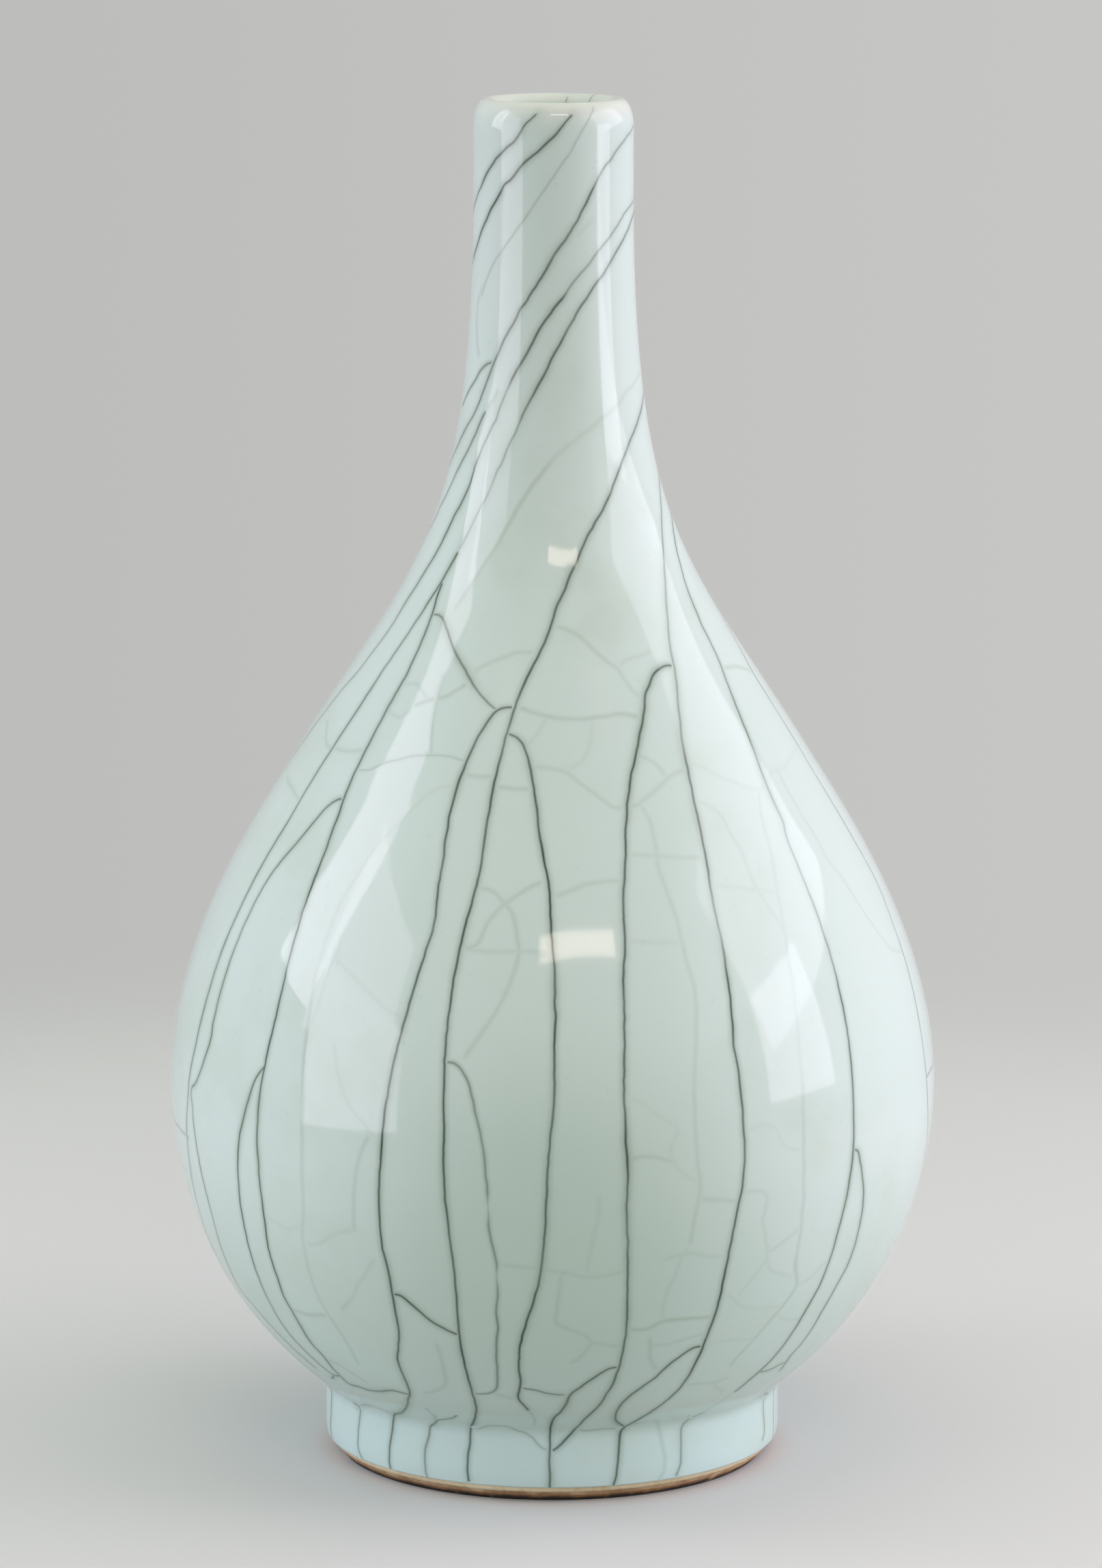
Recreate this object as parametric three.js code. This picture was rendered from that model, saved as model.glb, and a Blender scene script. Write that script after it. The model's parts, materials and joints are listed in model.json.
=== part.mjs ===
// A crackle glaze bottle vase: a round belly on a turned foot ring, shoulders that sweep up into a
// tall narrow neck, and a softly rounded mouth. Sizes are in millimetres and +Z is up. The origin is
// the centre of the foot, on the surface that the vase stands on.
//
// The vase is thrown in three sections, a bowl, a dome and a neck, which are joined leather-hard with
// slip over a turned foot ring. It is then glazed outside, inside and under the foot, and the bare
// rim that it stands on is dressed with iron wash. Every piece is a solid of revolution, so each one
// is a lathe profile in the half plane of radius and height.

import * as THREE from 'three';

// Outside of the glazed vase
const footRadius = 59;          // outer wall of the foot
const footHeight = 19;          // floor to the crease under the belly
const creaseFillet = 2.5;       // pooled glaze that softens the crease
const bellyRadius = 98.6;       // widest point of the vase
const bellyRise = 78.5;         // crease to the widest point
const shoulderRadius = 66;      // where the round shoulder turns into the hollow sweep of the neck
const shoulderRise = 85.5;      // widest point to that turn
const shoulderLean = 0.61;      // how far the wall leans in there, radius lost for each unit of height
const shoulderFullness = 37;    // how long the belly's curve stays full above the widest point
const shoulderEase = 16;        // how long the shoulder runs straight below the turn
const sweepEase = 58;           // how long it runs straight above the turn
const neckRadius = 20.3;        // outside of the neck
const sweepRise = 145;          // the turn to the plain neck
const neckEase = 91;            // how long the neck's curve stays upright below the plain neck
const neckRise = 15;            // plain neck below the lip
const lipRise = 7;              // outer curve of the lip, up to its ridge
const lipDrop = 5;              // inner curve of the lip, down from its ridge

// Foot corner, rim and well
const cornerWidth = 5;          // rounding at the bottom of the foot wall, sideways
const cornerRise = 5.5;         // and upwards
const glazeEdgeHeight = 4.8;    // where the outer glaze was wiped off above the floor
const treadRounding = 0.55;     // rounding of the edges of the flat face that the vase stands on
const footRingWidth = 12;       // outer wall of the foot to the wall of the hollow under it
const wellGlazeHeight = 4;      // where the glaze in the well stops above the floor
const wellFillet = 2;           // rounding where the well's wall meets its ceiling
const dressingHeight = 2.4;     // how far the iron wash climbs both sides of the rim
const dressingThickness = 0.8;

// Walls and joints
const glazeThickness = 0.9;
const wallThickness = 5;
const floorHeight = 26;         // floor of the inside, above the surface that the vase stands on
const heelWidth = 12;           // rounding where the inside floor turns up into the wall
const slipThickness = 1.2;      // slip in the joints between the thrown sections
const neckJointRun = 62;        // joint of the neck, along the wall from the turn of the shoulder
const boreGlazeDepth = 12;      // how far the outer glaze runs over the lip and down the bore
const seatGap = 0.1;            // clearance between pieces that lie on each other

// Fineness of the faceted solids
const turnSegments = 40;
const steps = { corner: 2, fillet: 2, belly: 6, shoulder: 5, sweep: 6, neck: 4, lip: 3, heel: 2 };

// Sizes that follow from the ones above
const underGlaze = glazeThickness + seatGap;
const wallDepth = wallThickness + 2 * underGlaze;
const bellyHeight = footHeight + bellyRise;
const shoulderHeight = bellyHeight + shoulderRise;
const plainNeckHeight = shoulderHeight + sweepRise;
const lipHeight = plainNeckHeight + neckRise;
const ridgeHeight = lipHeight + lipRise;
const boreRadius = neckRadius - wallDepth;
const ridgeRadius = (neckRadius + boreRadius) / 2;
const glazeMeetHeight = ridgeHeight - boreGlazeDepth;
const slipHalf = slipThickness / 2;
const bowlBase = footHeight - creaseFillet;
const footSlipBase = bowlBase - seatGap - slipThickness;
const ringTop = footSlipBase - seatGap;
const wellRadius = footRadius - footRingWidth;
const ringInnerRadius = wellRadius + underGlaze;
const ringBase = dressingThickness + seatGap;

// Outline of the glazed outside, as curves of radius and height from the foot up to the bore

const point = (radius, height) => new THREE.Vector2(radius, height);

const cornerTop = glazeEdgeHeight + cornerRise * Math.sin(Math.PI / 3);
const footCorner = new THREE.EllipseCurve(
  footRadius - cornerWidth, cornerTop, cornerWidth, cornerRise, -Math.PI / 3, 0);
const footWall = new THREE.LineCurve(point(footRadius, cornerTop), point(footRadius, bowlBase));

// The belly below its widest point is part of an ellipse that meets the foot wall at the crease.
const creaseAngle = Math.acos(footRadius / bellyRadius);
const bellyDepth = bellyRise / Math.sin(creaseAngle);
const filletAngle = creaseFillet / bellyRadius;
const bellyOutside = new THREE.EllipseCurve(
  0, bellyHeight, bellyRadius, bellyDepth, filletAngle - creaseAngle, 0);
const crease = new THREE.QuadraticBezierCurve(
  point(footRadius, bowlBase), point(footRadius, footHeight), bellyOutside.getPoint(0));

const shoulderTurn = point(shoulderRadius, shoulderHeight);
const leanDirection = point(-shoulderLean, 1).normalize();
const shoulder = new THREE.CubicBezierCurve(
  point(bellyRadius, bellyHeight),
  point(bellyRadius, bellyHeight + shoulderFullness),
  shoulderTurn.clone().addScaledVector(leanDirection, -shoulderEase),
  shoulderTurn);
const sweep = new THREE.CubicBezierCurve(
  shoulderTurn,
  shoulderTurn.clone().addScaledVector(leanDirection, sweepEase),
  point(neckRadius, plainNeckHeight - neckEase),
  point(neckRadius, plainNeckHeight));

const lipOutside = new THREE.EllipseCurve(
  ridgeRadius, lipHeight, neckRadius - ridgeRadius, lipRise, 0, Math.PI / 2);
const lipInside = new THREE.EllipseCurve(
  ridgeRadius, ridgeHeight - lipDrop, ridgeRadius - boreRadius, lipDrop, Math.PI / 2, Math.PI);

// Outline of the glazed inside below the widest point: a flat floor, a rounded heel and the wall

const insideAngle = Math.asin((bellyHeight - floorHeight) / (bellyDepth - wallDepth));
const heelAngle = heelWidth / bellyRadius;
const bellyInside = new THREE.EllipseCurve(
  0, bellyHeight, bellyRadius - wallDepth, bellyDepth - wallDepth, heelAngle - insideAngle, 0);
const heelRadius = (bellyRadius - wallDepth) * Math.cos(insideAngle);
const heel = new THREE.QuadraticBezierCurve(
  point(heelRadius - heelWidth, floorHeight), point(heelRadius, floorHeight), bellyInside.getPoint(0));

// A station is a point of an outline with the direction that leaves the vase's wall outwards there.

function station(curve, distance) {
  const share = distance / curve.getLength();
  const tangent = curve.getTangentAt(share);
  return { point: curve.getPointAt(share), outward: point(tangent.y, -tangent.x) };
}

function stations(curve, count, from = 0, to = curve.getLength()) {
  const run = [];
  for (let i = 0; i <= count; i += 1) {
    run.push(station(curve, from + (to - from) * i / count));
  }
  return run;
}

// Moves a station off its outline: outwards if the distance is positive, into the wall if negative.
const shifted = (place, distance) => place.point.clone().addScaledVector(place.outward, distance);
const shiftedRun = (run, distance) => run.map((place) => shifted(place, distance));

// The inside surface opposite a run of the outside
const throughWall = (run) => run.map((place) => (
  { point: shifted(place, -wallDepth), outward: place.outward }));

// Stations of the outside, in runs that end where the thrown sections end

const cornerRun = stations(footCorner, steps.corner);
const wallRun = [station(footWall, footWall.getLength())];
const creaseRun = stations(crease, steps.fillet).slice(1);

const toSlip = slipHalf + seatGap;
const bowlRun = stations(bellyOutside, steps.belly, 0, bellyOutside.getLength() - toSlip).slice(1);
const bellySlipRun = [
  station(bellyOutside, bellyOutside.getLength() - slipHalf),
  station(shoulder, slipHalf)];
const domeRun = [
  ...stations(shoulder, steps.shoulder, toSlip),
  ...stations(sweep, steps.sweep, 0, neckJointRun - toSlip).slice(1)];
const neckSlipRun = stations(sweep, 1, neckJointRun - slipHalf, neckJointRun + slipHalf);
const neckRun = [
  ...stations(sweep, steps.neck, neckJointRun + toSlip),
  { point: point(neckRadius, glazeMeetHeight), outward: point(1, 0) }];
const lipRun = [
  ...stations(lipOutside, steps.lip),
  ...stations(lipInside, steps.lip).slice(1)];
const boreEnd = { point: point(boreRadius, glazeMeetHeight + seatGap), outward: point(-1, 0) };

const outsideRun = [
  ...cornerRun, ...wallRun, ...creaseRun, ...bowlRun, ...bellySlipRun, ...domeRun, ...neckSlipRun,
  ...neckRun, ...lipRun, boreEnd];

// Stations of the inside, from the middle of the floor upwards

const floorCentre = { point: point(0, floorHeight), outward: point(0, -1) };
const bowlInsideRun = [
  floorCentre,
  ...stations(heel, steps.heel),
  ...stations(bellyInside, steps.belly, 0, bellyInside.getLength() - toSlip).slice(1)];
const bellySlipInside = station(bellyInside, bellyInside.getLength() - slipHalf);
const insideRun = [
  ...bowlInsideRun,
  bellySlipInside,
  ...throughWall([bellySlipRun[1], ...domeRun, ...neckSlipRun, ...neckRun])];

// Turns a profile into a solid about +Z. The profile goes up its outer side and down its inner side,
// and a ring closes on its own first point.

function turned(profile) {
  const touchesAxis = profile[0].x === 0;
  const outline = touchesAxis ? profile : [...profile, profile[0].clone()];
  const geometry = new THREE.LatheGeometry(outline, turnSegments);
  geometry.rotateX(Math.PI / 2);
  return geometry;
}

// A wall between two runs of points, both listed upwards
const between = (outer, inner) => [...outer, ...[...inner].reverse()];

const vase = new THREE.Group();

function addPiece(name, profile, material) {
  const piece = new THREE.Mesh(turned(profile), material);
  piece.name = name;
  vase.add(piece);
}

// Materials

const celadonGlaze = new THREE.MeshStandardMaterial({ color: 0xb7c9c3, roughness: 0.12, metalness: 0 });
const stoneware = new THREE.MeshStandardMaterial({ color: 0xd9cbb4, roughness: 0.85, metalness: 0 });
const joiningSlip = new THREE.MeshStandardMaterial({ color: 0xc9b9a2, roughness: 0.9, metalness: 0 });
const ironWash = new THREE.MeshStandardMaterial({ color: 0x5a3a24, roughness: 0.75, metalness: 0 });

// Foot: the bare ring, and the iron wash that cups its rim and stands on the floor

const rimOuterRadius = shifted(cornerRun[0], -underGlaze).x;
const rimInnerRadius = ringInnerRadius;

addPiece('foot_ring', [
  point(rimOuterRadius - ringBase, ringBase),
  point(rimOuterRadius - ringBase, dressingHeight + seatGap),
  point(rimOuterRadius, dressingHeight + seatGap),
  ...shiftedRun(cornerRun, -underGlaze),
  point(footRadius - underGlaze, ringTop),
  point(rimInnerRadius, ringTop),
  point(rimInnerRadius, dressingHeight + seatGap),
  point(rimInnerRadius + ringBase, dressingHeight + seatGap),
  point(rimInnerRadius + ringBase, ringBase),
], stoneware);

addPiece('foot_dressing', [
  point(rimInnerRadius + treadRounding, 0),
  point(rimOuterRadius - treadRounding, 0),
  point(rimOuterRadius, treadRounding),
  point(rimOuterRadius, dressingHeight),
  point(rimOuterRadius - dressingThickness, dressingHeight),
  point(rimOuterRadius - dressingThickness, dressingThickness),
  point(rimInnerRadius + dressingThickness, dressingThickness),
  point(rimInnerRadius + dressingThickness, dressingHeight),
  point(rimInnerRadius, dressingHeight),
  point(rimInnerRadius, treadRounding),
], ironWash);

// Thrown sections

addPiece('lower_body', [
  point(0, bowlBase),
  ...shiftedRun([...wallRun, ...creaseRun, ...bowlRun], -underGlaze),
  ...shiftedRun(bowlInsideRun, underGlaze).reverse(),
], stoneware);

const domeInside = throughWall(domeRun);
addPiece('upper_body', between(
  shiftedRun(domeRun, -underGlaze), shiftedRun(domeInside, underGlaze)), stoneware);

const neckInside = throughWall(neckRun);
addPiece('neck', between(
  shiftedRun([...neckRun, ...lipRun], -underGlaze), shiftedRun(neckInside, underGlaze)), stoneware);

// Slip in the joints

addPiece('foot_joint_slip', [
  point(footRadius - underGlaze, footSlipBase),
  point(footRadius - underGlaze, bowlBase - seatGap),
  point(rimInnerRadius, bowlBase - seatGap),
  point(rimInnerRadius, footSlipBase),
], joiningSlip);

addPiece('belly_joint_slip', between(
  shiftedRun(bellySlipRun, -underGlaze),
  shiftedRun([bellySlipInside, ...throughWall([bellySlipRun[1]])], underGlaze)), joiningSlip);

addPiece('neck_joint_slip', between(
  shiftedRun(neckSlipRun, -underGlaze),
  shiftedRun(throughWall(neckSlipRun), underGlaze)), joiningSlip);

// Glazes

addPiece('outer_glaze', between(
  shiftedRun(outsideRun, 0), shiftedRun(outsideRun, -glazeThickness)), celadonGlaze);

addPiece('inner_glaze', between(
  shiftedRun(insideRun, glazeThickness), shiftedRun(insideRun, 0)), celadonGlaze);

const wellGlazeTop = bowlBase - seatGap;
const wellCeiling = wellGlazeTop - glazeThickness;

addPiece('well_glaze', [
  point(0, wellCeiling),
  point(wellRadius - wellFillet, wellCeiling),
  point(wellRadius, wellCeiling - wellFillet),
  point(wellRadius, wellGlazeHeight),
  point(wellRadius + glazeThickness, wellGlazeHeight),
  point(wellRadius + glazeThickness, wellGlazeTop),
  point(0, wellGlazeTop),
], celadonGlaze);

export default vase;
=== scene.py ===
# %% [markdown]
# # A crackle glaze bottle vase
# The vase is a thrown stoneware bottle under a thick pale celadon glaze. As the glaze cooled it shrank
# more than the clay and cracked, and ink was rubbed into the cracks. The first cracks are long and
# dark: they wind round the neck, run down the belly and close in loops at the foot. The later ones are
# short, fine and pale.
#
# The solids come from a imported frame: clay sections, joints, glazes and the foot. They are faceted and
# plain. This script keeps the hidden ones, turns fine new skins for the ones that show, draws the
# crackle on the glaze, and gives each piece its finish.

# %% Load the solids
import json
import math

import bpy
import numpy as np
from mathutils import Euler, Matrix, Vector

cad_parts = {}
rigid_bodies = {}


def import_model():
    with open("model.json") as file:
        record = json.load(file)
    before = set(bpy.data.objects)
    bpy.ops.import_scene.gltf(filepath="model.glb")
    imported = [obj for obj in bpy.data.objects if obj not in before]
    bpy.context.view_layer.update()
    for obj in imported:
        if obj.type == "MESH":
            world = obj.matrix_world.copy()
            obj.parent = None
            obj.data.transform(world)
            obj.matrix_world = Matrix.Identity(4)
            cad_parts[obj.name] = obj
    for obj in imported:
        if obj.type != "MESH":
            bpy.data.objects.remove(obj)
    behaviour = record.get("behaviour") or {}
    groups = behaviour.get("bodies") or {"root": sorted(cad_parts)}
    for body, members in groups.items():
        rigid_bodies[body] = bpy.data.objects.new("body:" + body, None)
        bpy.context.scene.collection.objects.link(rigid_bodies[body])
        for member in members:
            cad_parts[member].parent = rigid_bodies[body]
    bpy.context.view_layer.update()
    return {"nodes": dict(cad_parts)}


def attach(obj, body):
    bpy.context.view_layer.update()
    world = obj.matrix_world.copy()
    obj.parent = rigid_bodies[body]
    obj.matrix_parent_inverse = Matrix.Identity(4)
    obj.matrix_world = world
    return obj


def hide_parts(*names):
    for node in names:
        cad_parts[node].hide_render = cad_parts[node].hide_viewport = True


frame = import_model()
MM = 0.001
scene_objects = bpy.context.scene.collection.objects

# %% [markdown]
# ## The camera
# A long lens from 1.7 m away looks slightly down on the vase, so that the mouth shows as a thin
# ellipse and the foot as a deeper one. The lens is given by how many pixels of the picture one radian
# covers, which is what an outline fitted to a picture gives.

# %% Camera
picture_height = 2296
pixels_per_radian = 9856.8
sensor_size = 36

camera_data = bpy.data.cameras.new("camera")
camera_data.sensor_width = sensor_size
camera_data.lens = sensor_size * pixels_per_radian / picture_height
camera = bpy.data.objects.new("camera", camera_data)
scene_objects.link(camera)
bpy.context.scene.camera = camera

camera_place = Vector((-0.43, -1700, 478)) * MM
camera_pitch = math.radians(10.127)
camera_roll = 0.00119
looking = Euler((math.pi / 2 - camera_pitch, 0, 0)).to_matrix() @ Matrix.Rotation(camera_roll, 3, "Z")
camera.matrix_world = Matrix.Translation(camera_place) @ looking.to_4x4()
print("lens in mm:", round(camera_data.lens, 1))

# %% [markdown]
# ## Nodes as expressions
# Geometry trees and materials are both node trees. One small class stands for a tree and one for a
# socket in it. Arithmetic on a socket adds Math nodes, so that a formula reads as a formula. Every
# other node comes from one method that takes its type, its settings and what goes into its sockets.
# Steps that come back often have a short method that calls it.

# %% A socket in a tree


class Wire:
    """An output socket. Arithmetic on it adds Math nodes to its tree."""

    def __init__(self, tree, socket):
        self.tree = tree
        self.socket = socket

    def math(self, operation, *values):
        return self.tree.node("ShaderNodeMath", {"operation": operation}, dict(enumerate(values)))

    def of(self, output):
        """Another output of the same node."""
        return Wire(self.tree, self.socket.node.outputs[output])

    def __add__(self, other):
        return self.math("ADD", self, other)

    def __radd__(self, other):
        return self.math("ADD", other, self)

    def __sub__(self, other):
        return self.math("SUBTRACT", self, other)

    def __rsub__(self, other):
        return self.math("SUBTRACT", other, self)

    def __mul__(self, other):
        return self.math("MULTIPLY", self, other)

    def __rmul__(self, other):
        return self.math("MULTIPLY", other, self)

    def __truediv__(self, other):
        return self.math("DIVIDE", self, other)

    def __rtruediv__(self, other):
        return self.math("DIVIDE", other, self)

    def __pow__(self, other):
        return self.math("POWER", self, other)

    def low(self, other):
        return self.math("MINIMUM", self, other)

    def high(self, other):
        return self.math("MAXIMUM", self, other)

    def sine(self):
        return self.math("SINE", self)

    def cosine(self):
        return self.math("COSINE", self)

    def size(self):
        return self.math("ABSOLUTE", self)

    def exponent(self):
        return self.math("EXPONENT", self)

    def smooth(self, start, end):
        """0 below start, 1 above end, and an S curve between them."""
        settings = {"interpolation_type": "SMOOTHSTEP"}
        return self.tree.node("ShaderNodeMapRange", settings, {0: self, 1: start, 2: end})


# %% A tree, for a material or for geometry


class Tree:
    """A node tree that is being written."""

    def __init__(self, nodes):
        self.nodes = nodes

    def node(self, kind, settings=None, sockets=None, output=0):
        made = self.nodes.nodes.new(kind)
        for name, value in (settings or {}).items():
            setattr(made, name, value)
        for name, value in (sockets or {}).items():
            self.put(made.inputs[name], value)
        outputs = [s for s in made.outputs if s.enabled]
        found = made.outputs[output] if isinstance(output, str) else outputs[output]
        return Wire(self, found)

    def put(self, socket, value):
        if isinstance(value, Wire):
            self.nodes.links.new(value.socket, socket)
        else:
            socket.default_value = value

    def vector(self, operation, *values, output=0):
        return self.node("ShaderNodeVectorMath", {"operation": operation}, dict(enumerate(values)), output)

    def scaled(self, vector, size):
        """A vector made longer or shorter by a number."""
        made = self.vector("SCALE", vector)
        self.put(made.socket.node.inputs["Scale"], size)
        return made

    def split(self, vector, axis="X"):
        """One coordinate of a vector, from which of() gives the others."""
        return self.node("ShaderNodeSeparateXYZ", None, {0: vector}, axis)

    def joined(self, **axes):
        """A vector from the coordinates X, Y and Z. One that isn't named is 0."""
        return self.node("ShaderNodeCombineXYZ", None, axes)

    def mix(self, share, first, second):
        """One colour going over to another."""
        settings = {"data_type": "RGBA"}
        return self.node("ShaderNodeMix", settings, {0: share, 6: first, 7: second})

    def noise(self, where, scale, detail=2, roughness=0.5, output="Fac"):
        sockets = {"Vector": where, "Scale": scale, "Detail": detail, "Roughness": roughness}
        return self.node("ShaderNodeTexNoise", None, sockets, output)


class GeometryTree(Tree):
    """A tree that makes geometry, with the steps that both recipes share."""

    def here(self):
        """Where each point is."""
        return self.node("GeometryNodeInputPosition")

    def shape_of(self, given_object):
        """The geometry of an object that the tree is given."""
        return self.node("GeometryNodeObjectInfo", None, {"Object": given_object}, "Geometry")

    def nearest(self, elements, shape, output):
        """The nearest place on the faces or edges of another shape, or how far it is."""
        settings = {"target_element": elements}
        return self.node("GeometryNodeProximity", settings, {"Geometry": shape}, output)

    def moved(self, shape, **how):
        """The shape with its points put at a Position, or moved by an Offset."""
        return self.node("GeometryNodeSetPosition", None, {"Geometry": shape, **how})

    def store(self, shape, name, value):
        """Keeps a number on every point, for this tree or for a material to read."""
        settings = {"data_type": "FLOAT", "domain": "POINT"}
        return self.node("GeometryNodeStoreNamedAttribute", settings, {
            "Geometry": shape, "Name": name, "Value": value})

    def stored(self, name):
        """A number that was kept on the points."""
        return self.node("GeometryNodeInputNamedAttribute", {"data_type": "FLOAT"}, {"Name": name})


# %% Beginning, ending and running a geometry tree


def geometry_tree(name, inputs):
    """A new geometry tree with named inputs. Gives the tree and its inputs as wires."""
    nodes = bpy.data.node_groups.new(name, "GeometryNodeTree")
    nodes.interface.new_socket("Geometry", in_out="INPUT", socket_type="NodeSocketGeometry")
    nodes.interface.new_socket("Geometry", in_out="OUTPUT", socket_type="NodeSocketGeometry")
    for label, kind in inputs.items():
        nodes.interface.new_socket(label, in_out="INPUT", socket_type="NodeSocket" + kind)
    tree = GeometryTree(nodes)
    source = nodes.nodes.new("NodeGroupInput")
    wires = {s.name: Wire(tree, s) for s in source.outputs if s.name}
    return tree, wires


def end_tree(tree, geometry, material):
    """Ends a geometry tree with the material and with real geometry in place of instances."""
    painted = tree.node("GeometryNodeSetMaterial", None, {"Geometry": geometry, "Material": material})
    real = tree.node("GeometryNodeRealizeInstances", None, {"Geometry": painted})
    target = tree.nodes.nodes.new("NodeGroupOutput")
    tree.put(target.inputs["Geometry"], real)


def grow(name, carrier, tree, values):
    """Runs a geometry tree on a carrier object and keeps the result as a plain mesh object."""
    scene_objects.link(carrier)
    modifier = carrier.modifiers.new(name, "NODES")
    modifier.node_group = tree.nodes
    for item in tree.nodes.interface.items_tree:
        if item.in_out == "INPUT" and item.name in values:
            modifier[item.identifier] = values[item.name]
    ready = carrier.evaluated_get(bpy.context.evaluated_depsgraph_get())
    mesh = bpy.data.meshes.new_from_object(ready)
    bpy.data.objects.remove(carrier)
    mesh.name = name
    piece = bpy.data.objects.new(name, mesh)
    scene_objects.link(piece)
    print(name, "triangles:", sum(len(p.vertices) - 2 for p in mesh.polygons))
    return piece


# %% [markdown]
# ## Colours
# Colours are written as the eye reads them, from 0 to 255, and turned into the linear light that
# Blender works in.

# %% Colour helper


def paint(red, green, blue):
    """A colour in linear light from screen values of 0 to 255."""
    shares = np.array([red, green, blue]) / 255
    linear = np.where(shares <= 0.04045, shares / 12.92, ((shares + 0.055) / 1.055) ** 2.4)
    return (*linear.tolist(), 1.0)


print("mid grey in linear light:", round(paint(128, 128, 128)[0], 3))

# %% [markdown]
# ## The outline of the vase
# A thrown pot is round, so one outline of radius and height says its whole shape. It is the outline of
# the solids, in millimetres: a rounded foot corner, an upright foot wall, a small pooled crease, part
# of an ellipse up to the widest point, and two long Bezier curves for the shoulder and for the sweep
# into the neck. Ellipse quarters round the lip. Only the foot's corner differs a little from the
# solids: it is tighter here, because the photo shows the glaze ending at a clear edge.

# %% Sizes of the outline
foot_radius = 59
foot_height = 19
crease_fillet = 2.5
belly_radius = 98.6
belly_rise = 78.5
shoulder_radius = 66
shoulder_rise = 85.5
shoulder_lean = 0.61
shoulder_fullness = 37
shoulder_ease = 16
sweep_ease = 58
neck_radius = 20.3
sweep_rise = 145
neck_ease = 91
neck_rise = 15
lip_rise = 7
lip_drop = 5
corner_width = 0.9
corner_rise = 5.5
corner_turn = math.pi / 3
glaze_edge_height = 4.3
glaze_thickness = 0.9
wall_depth = 7
bore_glaze_depth = 12
seat_gap = 0.1

belly_height = foot_height + belly_rise
shoulder_height = belly_height + shoulder_rise
plain_neck_height = shoulder_height + sweep_rise
lip_height = plain_neck_height + neck_rise
ridge_height = lip_height + lip_rise
bore_radius = neck_radius - wall_depth
ridge_radius = (neck_radius + bore_radius) / 2
bowl_base = foot_height - crease_fillet
meet_height = ridge_height - bore_glaze_depth

# %% Curves of an outline


def ellipse_run(centre, radii, start, end, count):
    """Points on part of an ellipse, between two angles in radians."""
    angles = np.linspace(start, end, count + 1)
    return np.array(centre) + np.array(radii) * np.column_stack([np.cos(angles), np.sin(angles)])


def bezier_run(corners, count):
    """Points on a Bezier curve with any number of control points, by repeated halfway lines."""
    share = np.linspace(0, 1, count + 1)[:, None]
    rows = [np.array(corner, float) for corner in corners]
    while len(rows) > 1:
        rows = [(1 - share) * a + share * b for a, b in zip(rows, rows[1:])]
    return rows[0]


def end_to_end(*runs):
    """Joins runs of points, without the repeated point where two meet."""
    return np.vstack([runs[0], *[run[1:] for run in runs[1:]]])


def set_back(run, distance):
    """The run moved off its line: into the wall for a positive distance."""
    along = np.gradient(run, axis=0)
    along /= np.linalg.norm(along, axis=1)[:, None]
    return run - distance * np.column_stack([along[:, 1], -along[:, 0]])


# %% The outside, from the edge of the glaze to the bore
corner_top = glaze_edge_height + corner_rise * math.sin(corner_turn)
crease_angle = math.acos(foot_radius / belly_radius)
belly_depth = belly_rise / math.sin(crease_angle)
crease_end = crease_fillet / belly_radius - crease_angle
turn = np.array([shoulder_radius, shoulder_height])
lean = np.array([-shoulder_lean, 1]) / math.hypot(shoulder_lean, 1)

corner_run = ellipse_run(
    (foot_radius - corner_width, corner_top), (corner_width, corner_rise), -corner_turn, 0, count=9)
wall_run = bezier_run([corner_run[-1], (foot_radius, bowl_base)], count=6)
belly_run = ellipse_run((0, belly_height), (belly_radius, belly_depth), crease_end, 0, count=56)
crease_run = bezier_run([wall_run[-1], (foot_radius, foot_height), belly_run[0]], count=9)
shoulder_run = bezier_run([
    belly_run[-1], (belly_radius, belly_height + shoulder_fullness), turn - shoulder_ease * lean,
    turn], count=52)
sweep_run = bezier_run([
    turn, turn + sweep_ease * lean, (neck_radius, plain_neck_height - neck_ease),
    (neck_radius, plain_neck_height)], count=70)
neck_run = bezier_run([sweep_run[-1], (neck_radius, lip_height)], count=6)
lip_outside = ellipse_run(
    (ridge_radius, lip_height), (neck_radius - ridge_radius, lip_rise), 0, math.pi / 2, count=24)
lip_inside = ellipse_run(
    (ridge_radius, ridge_height - lip_drop), (ridge_radius - bore_radius, lip_drop),
    math.pi / 2, math.pi, count=20)
bore_run = bezier_run([lip_inside[-1], (bore_radius, meet_height + seat_gap)], count=4)

up_to_ridge = end_to_end(
    corner_run, wall_run, crease_run, belly_run, shoulder_run, sweep_run, neck_run, lip_outside)
outside = end_to_end(up_to_ridge, lip_inside, bore_run)
print("stations of the outside:", len(outside))

# %% [markdown]
# ## Turning a skin
# Each glaze is a shell: its outline goes up one side of the layer and comes back down the other. A
# modifier such as Screw would turn it, but a geometry tree can also give it the small faults of a
# thrown pot. The tree lays a grid with one row for each point of the outline, bends the grid round the
# axis, and welds the seam. Then it lets the surface swell and sink by less than a tenth of a
# millimetre, and measures how near each point is to a crack, so that the glaze material can be stained
# there.

# %% Tree that turns an outline
turning, given = geometry_tree("turned skin", {
    "Turns": "Int", "Swell": "Float", "Swell size": "Float", "Seed": "Float", "Cracks": "Object",
    "Finish": "Material"})
weld_distance = 0.001

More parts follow.
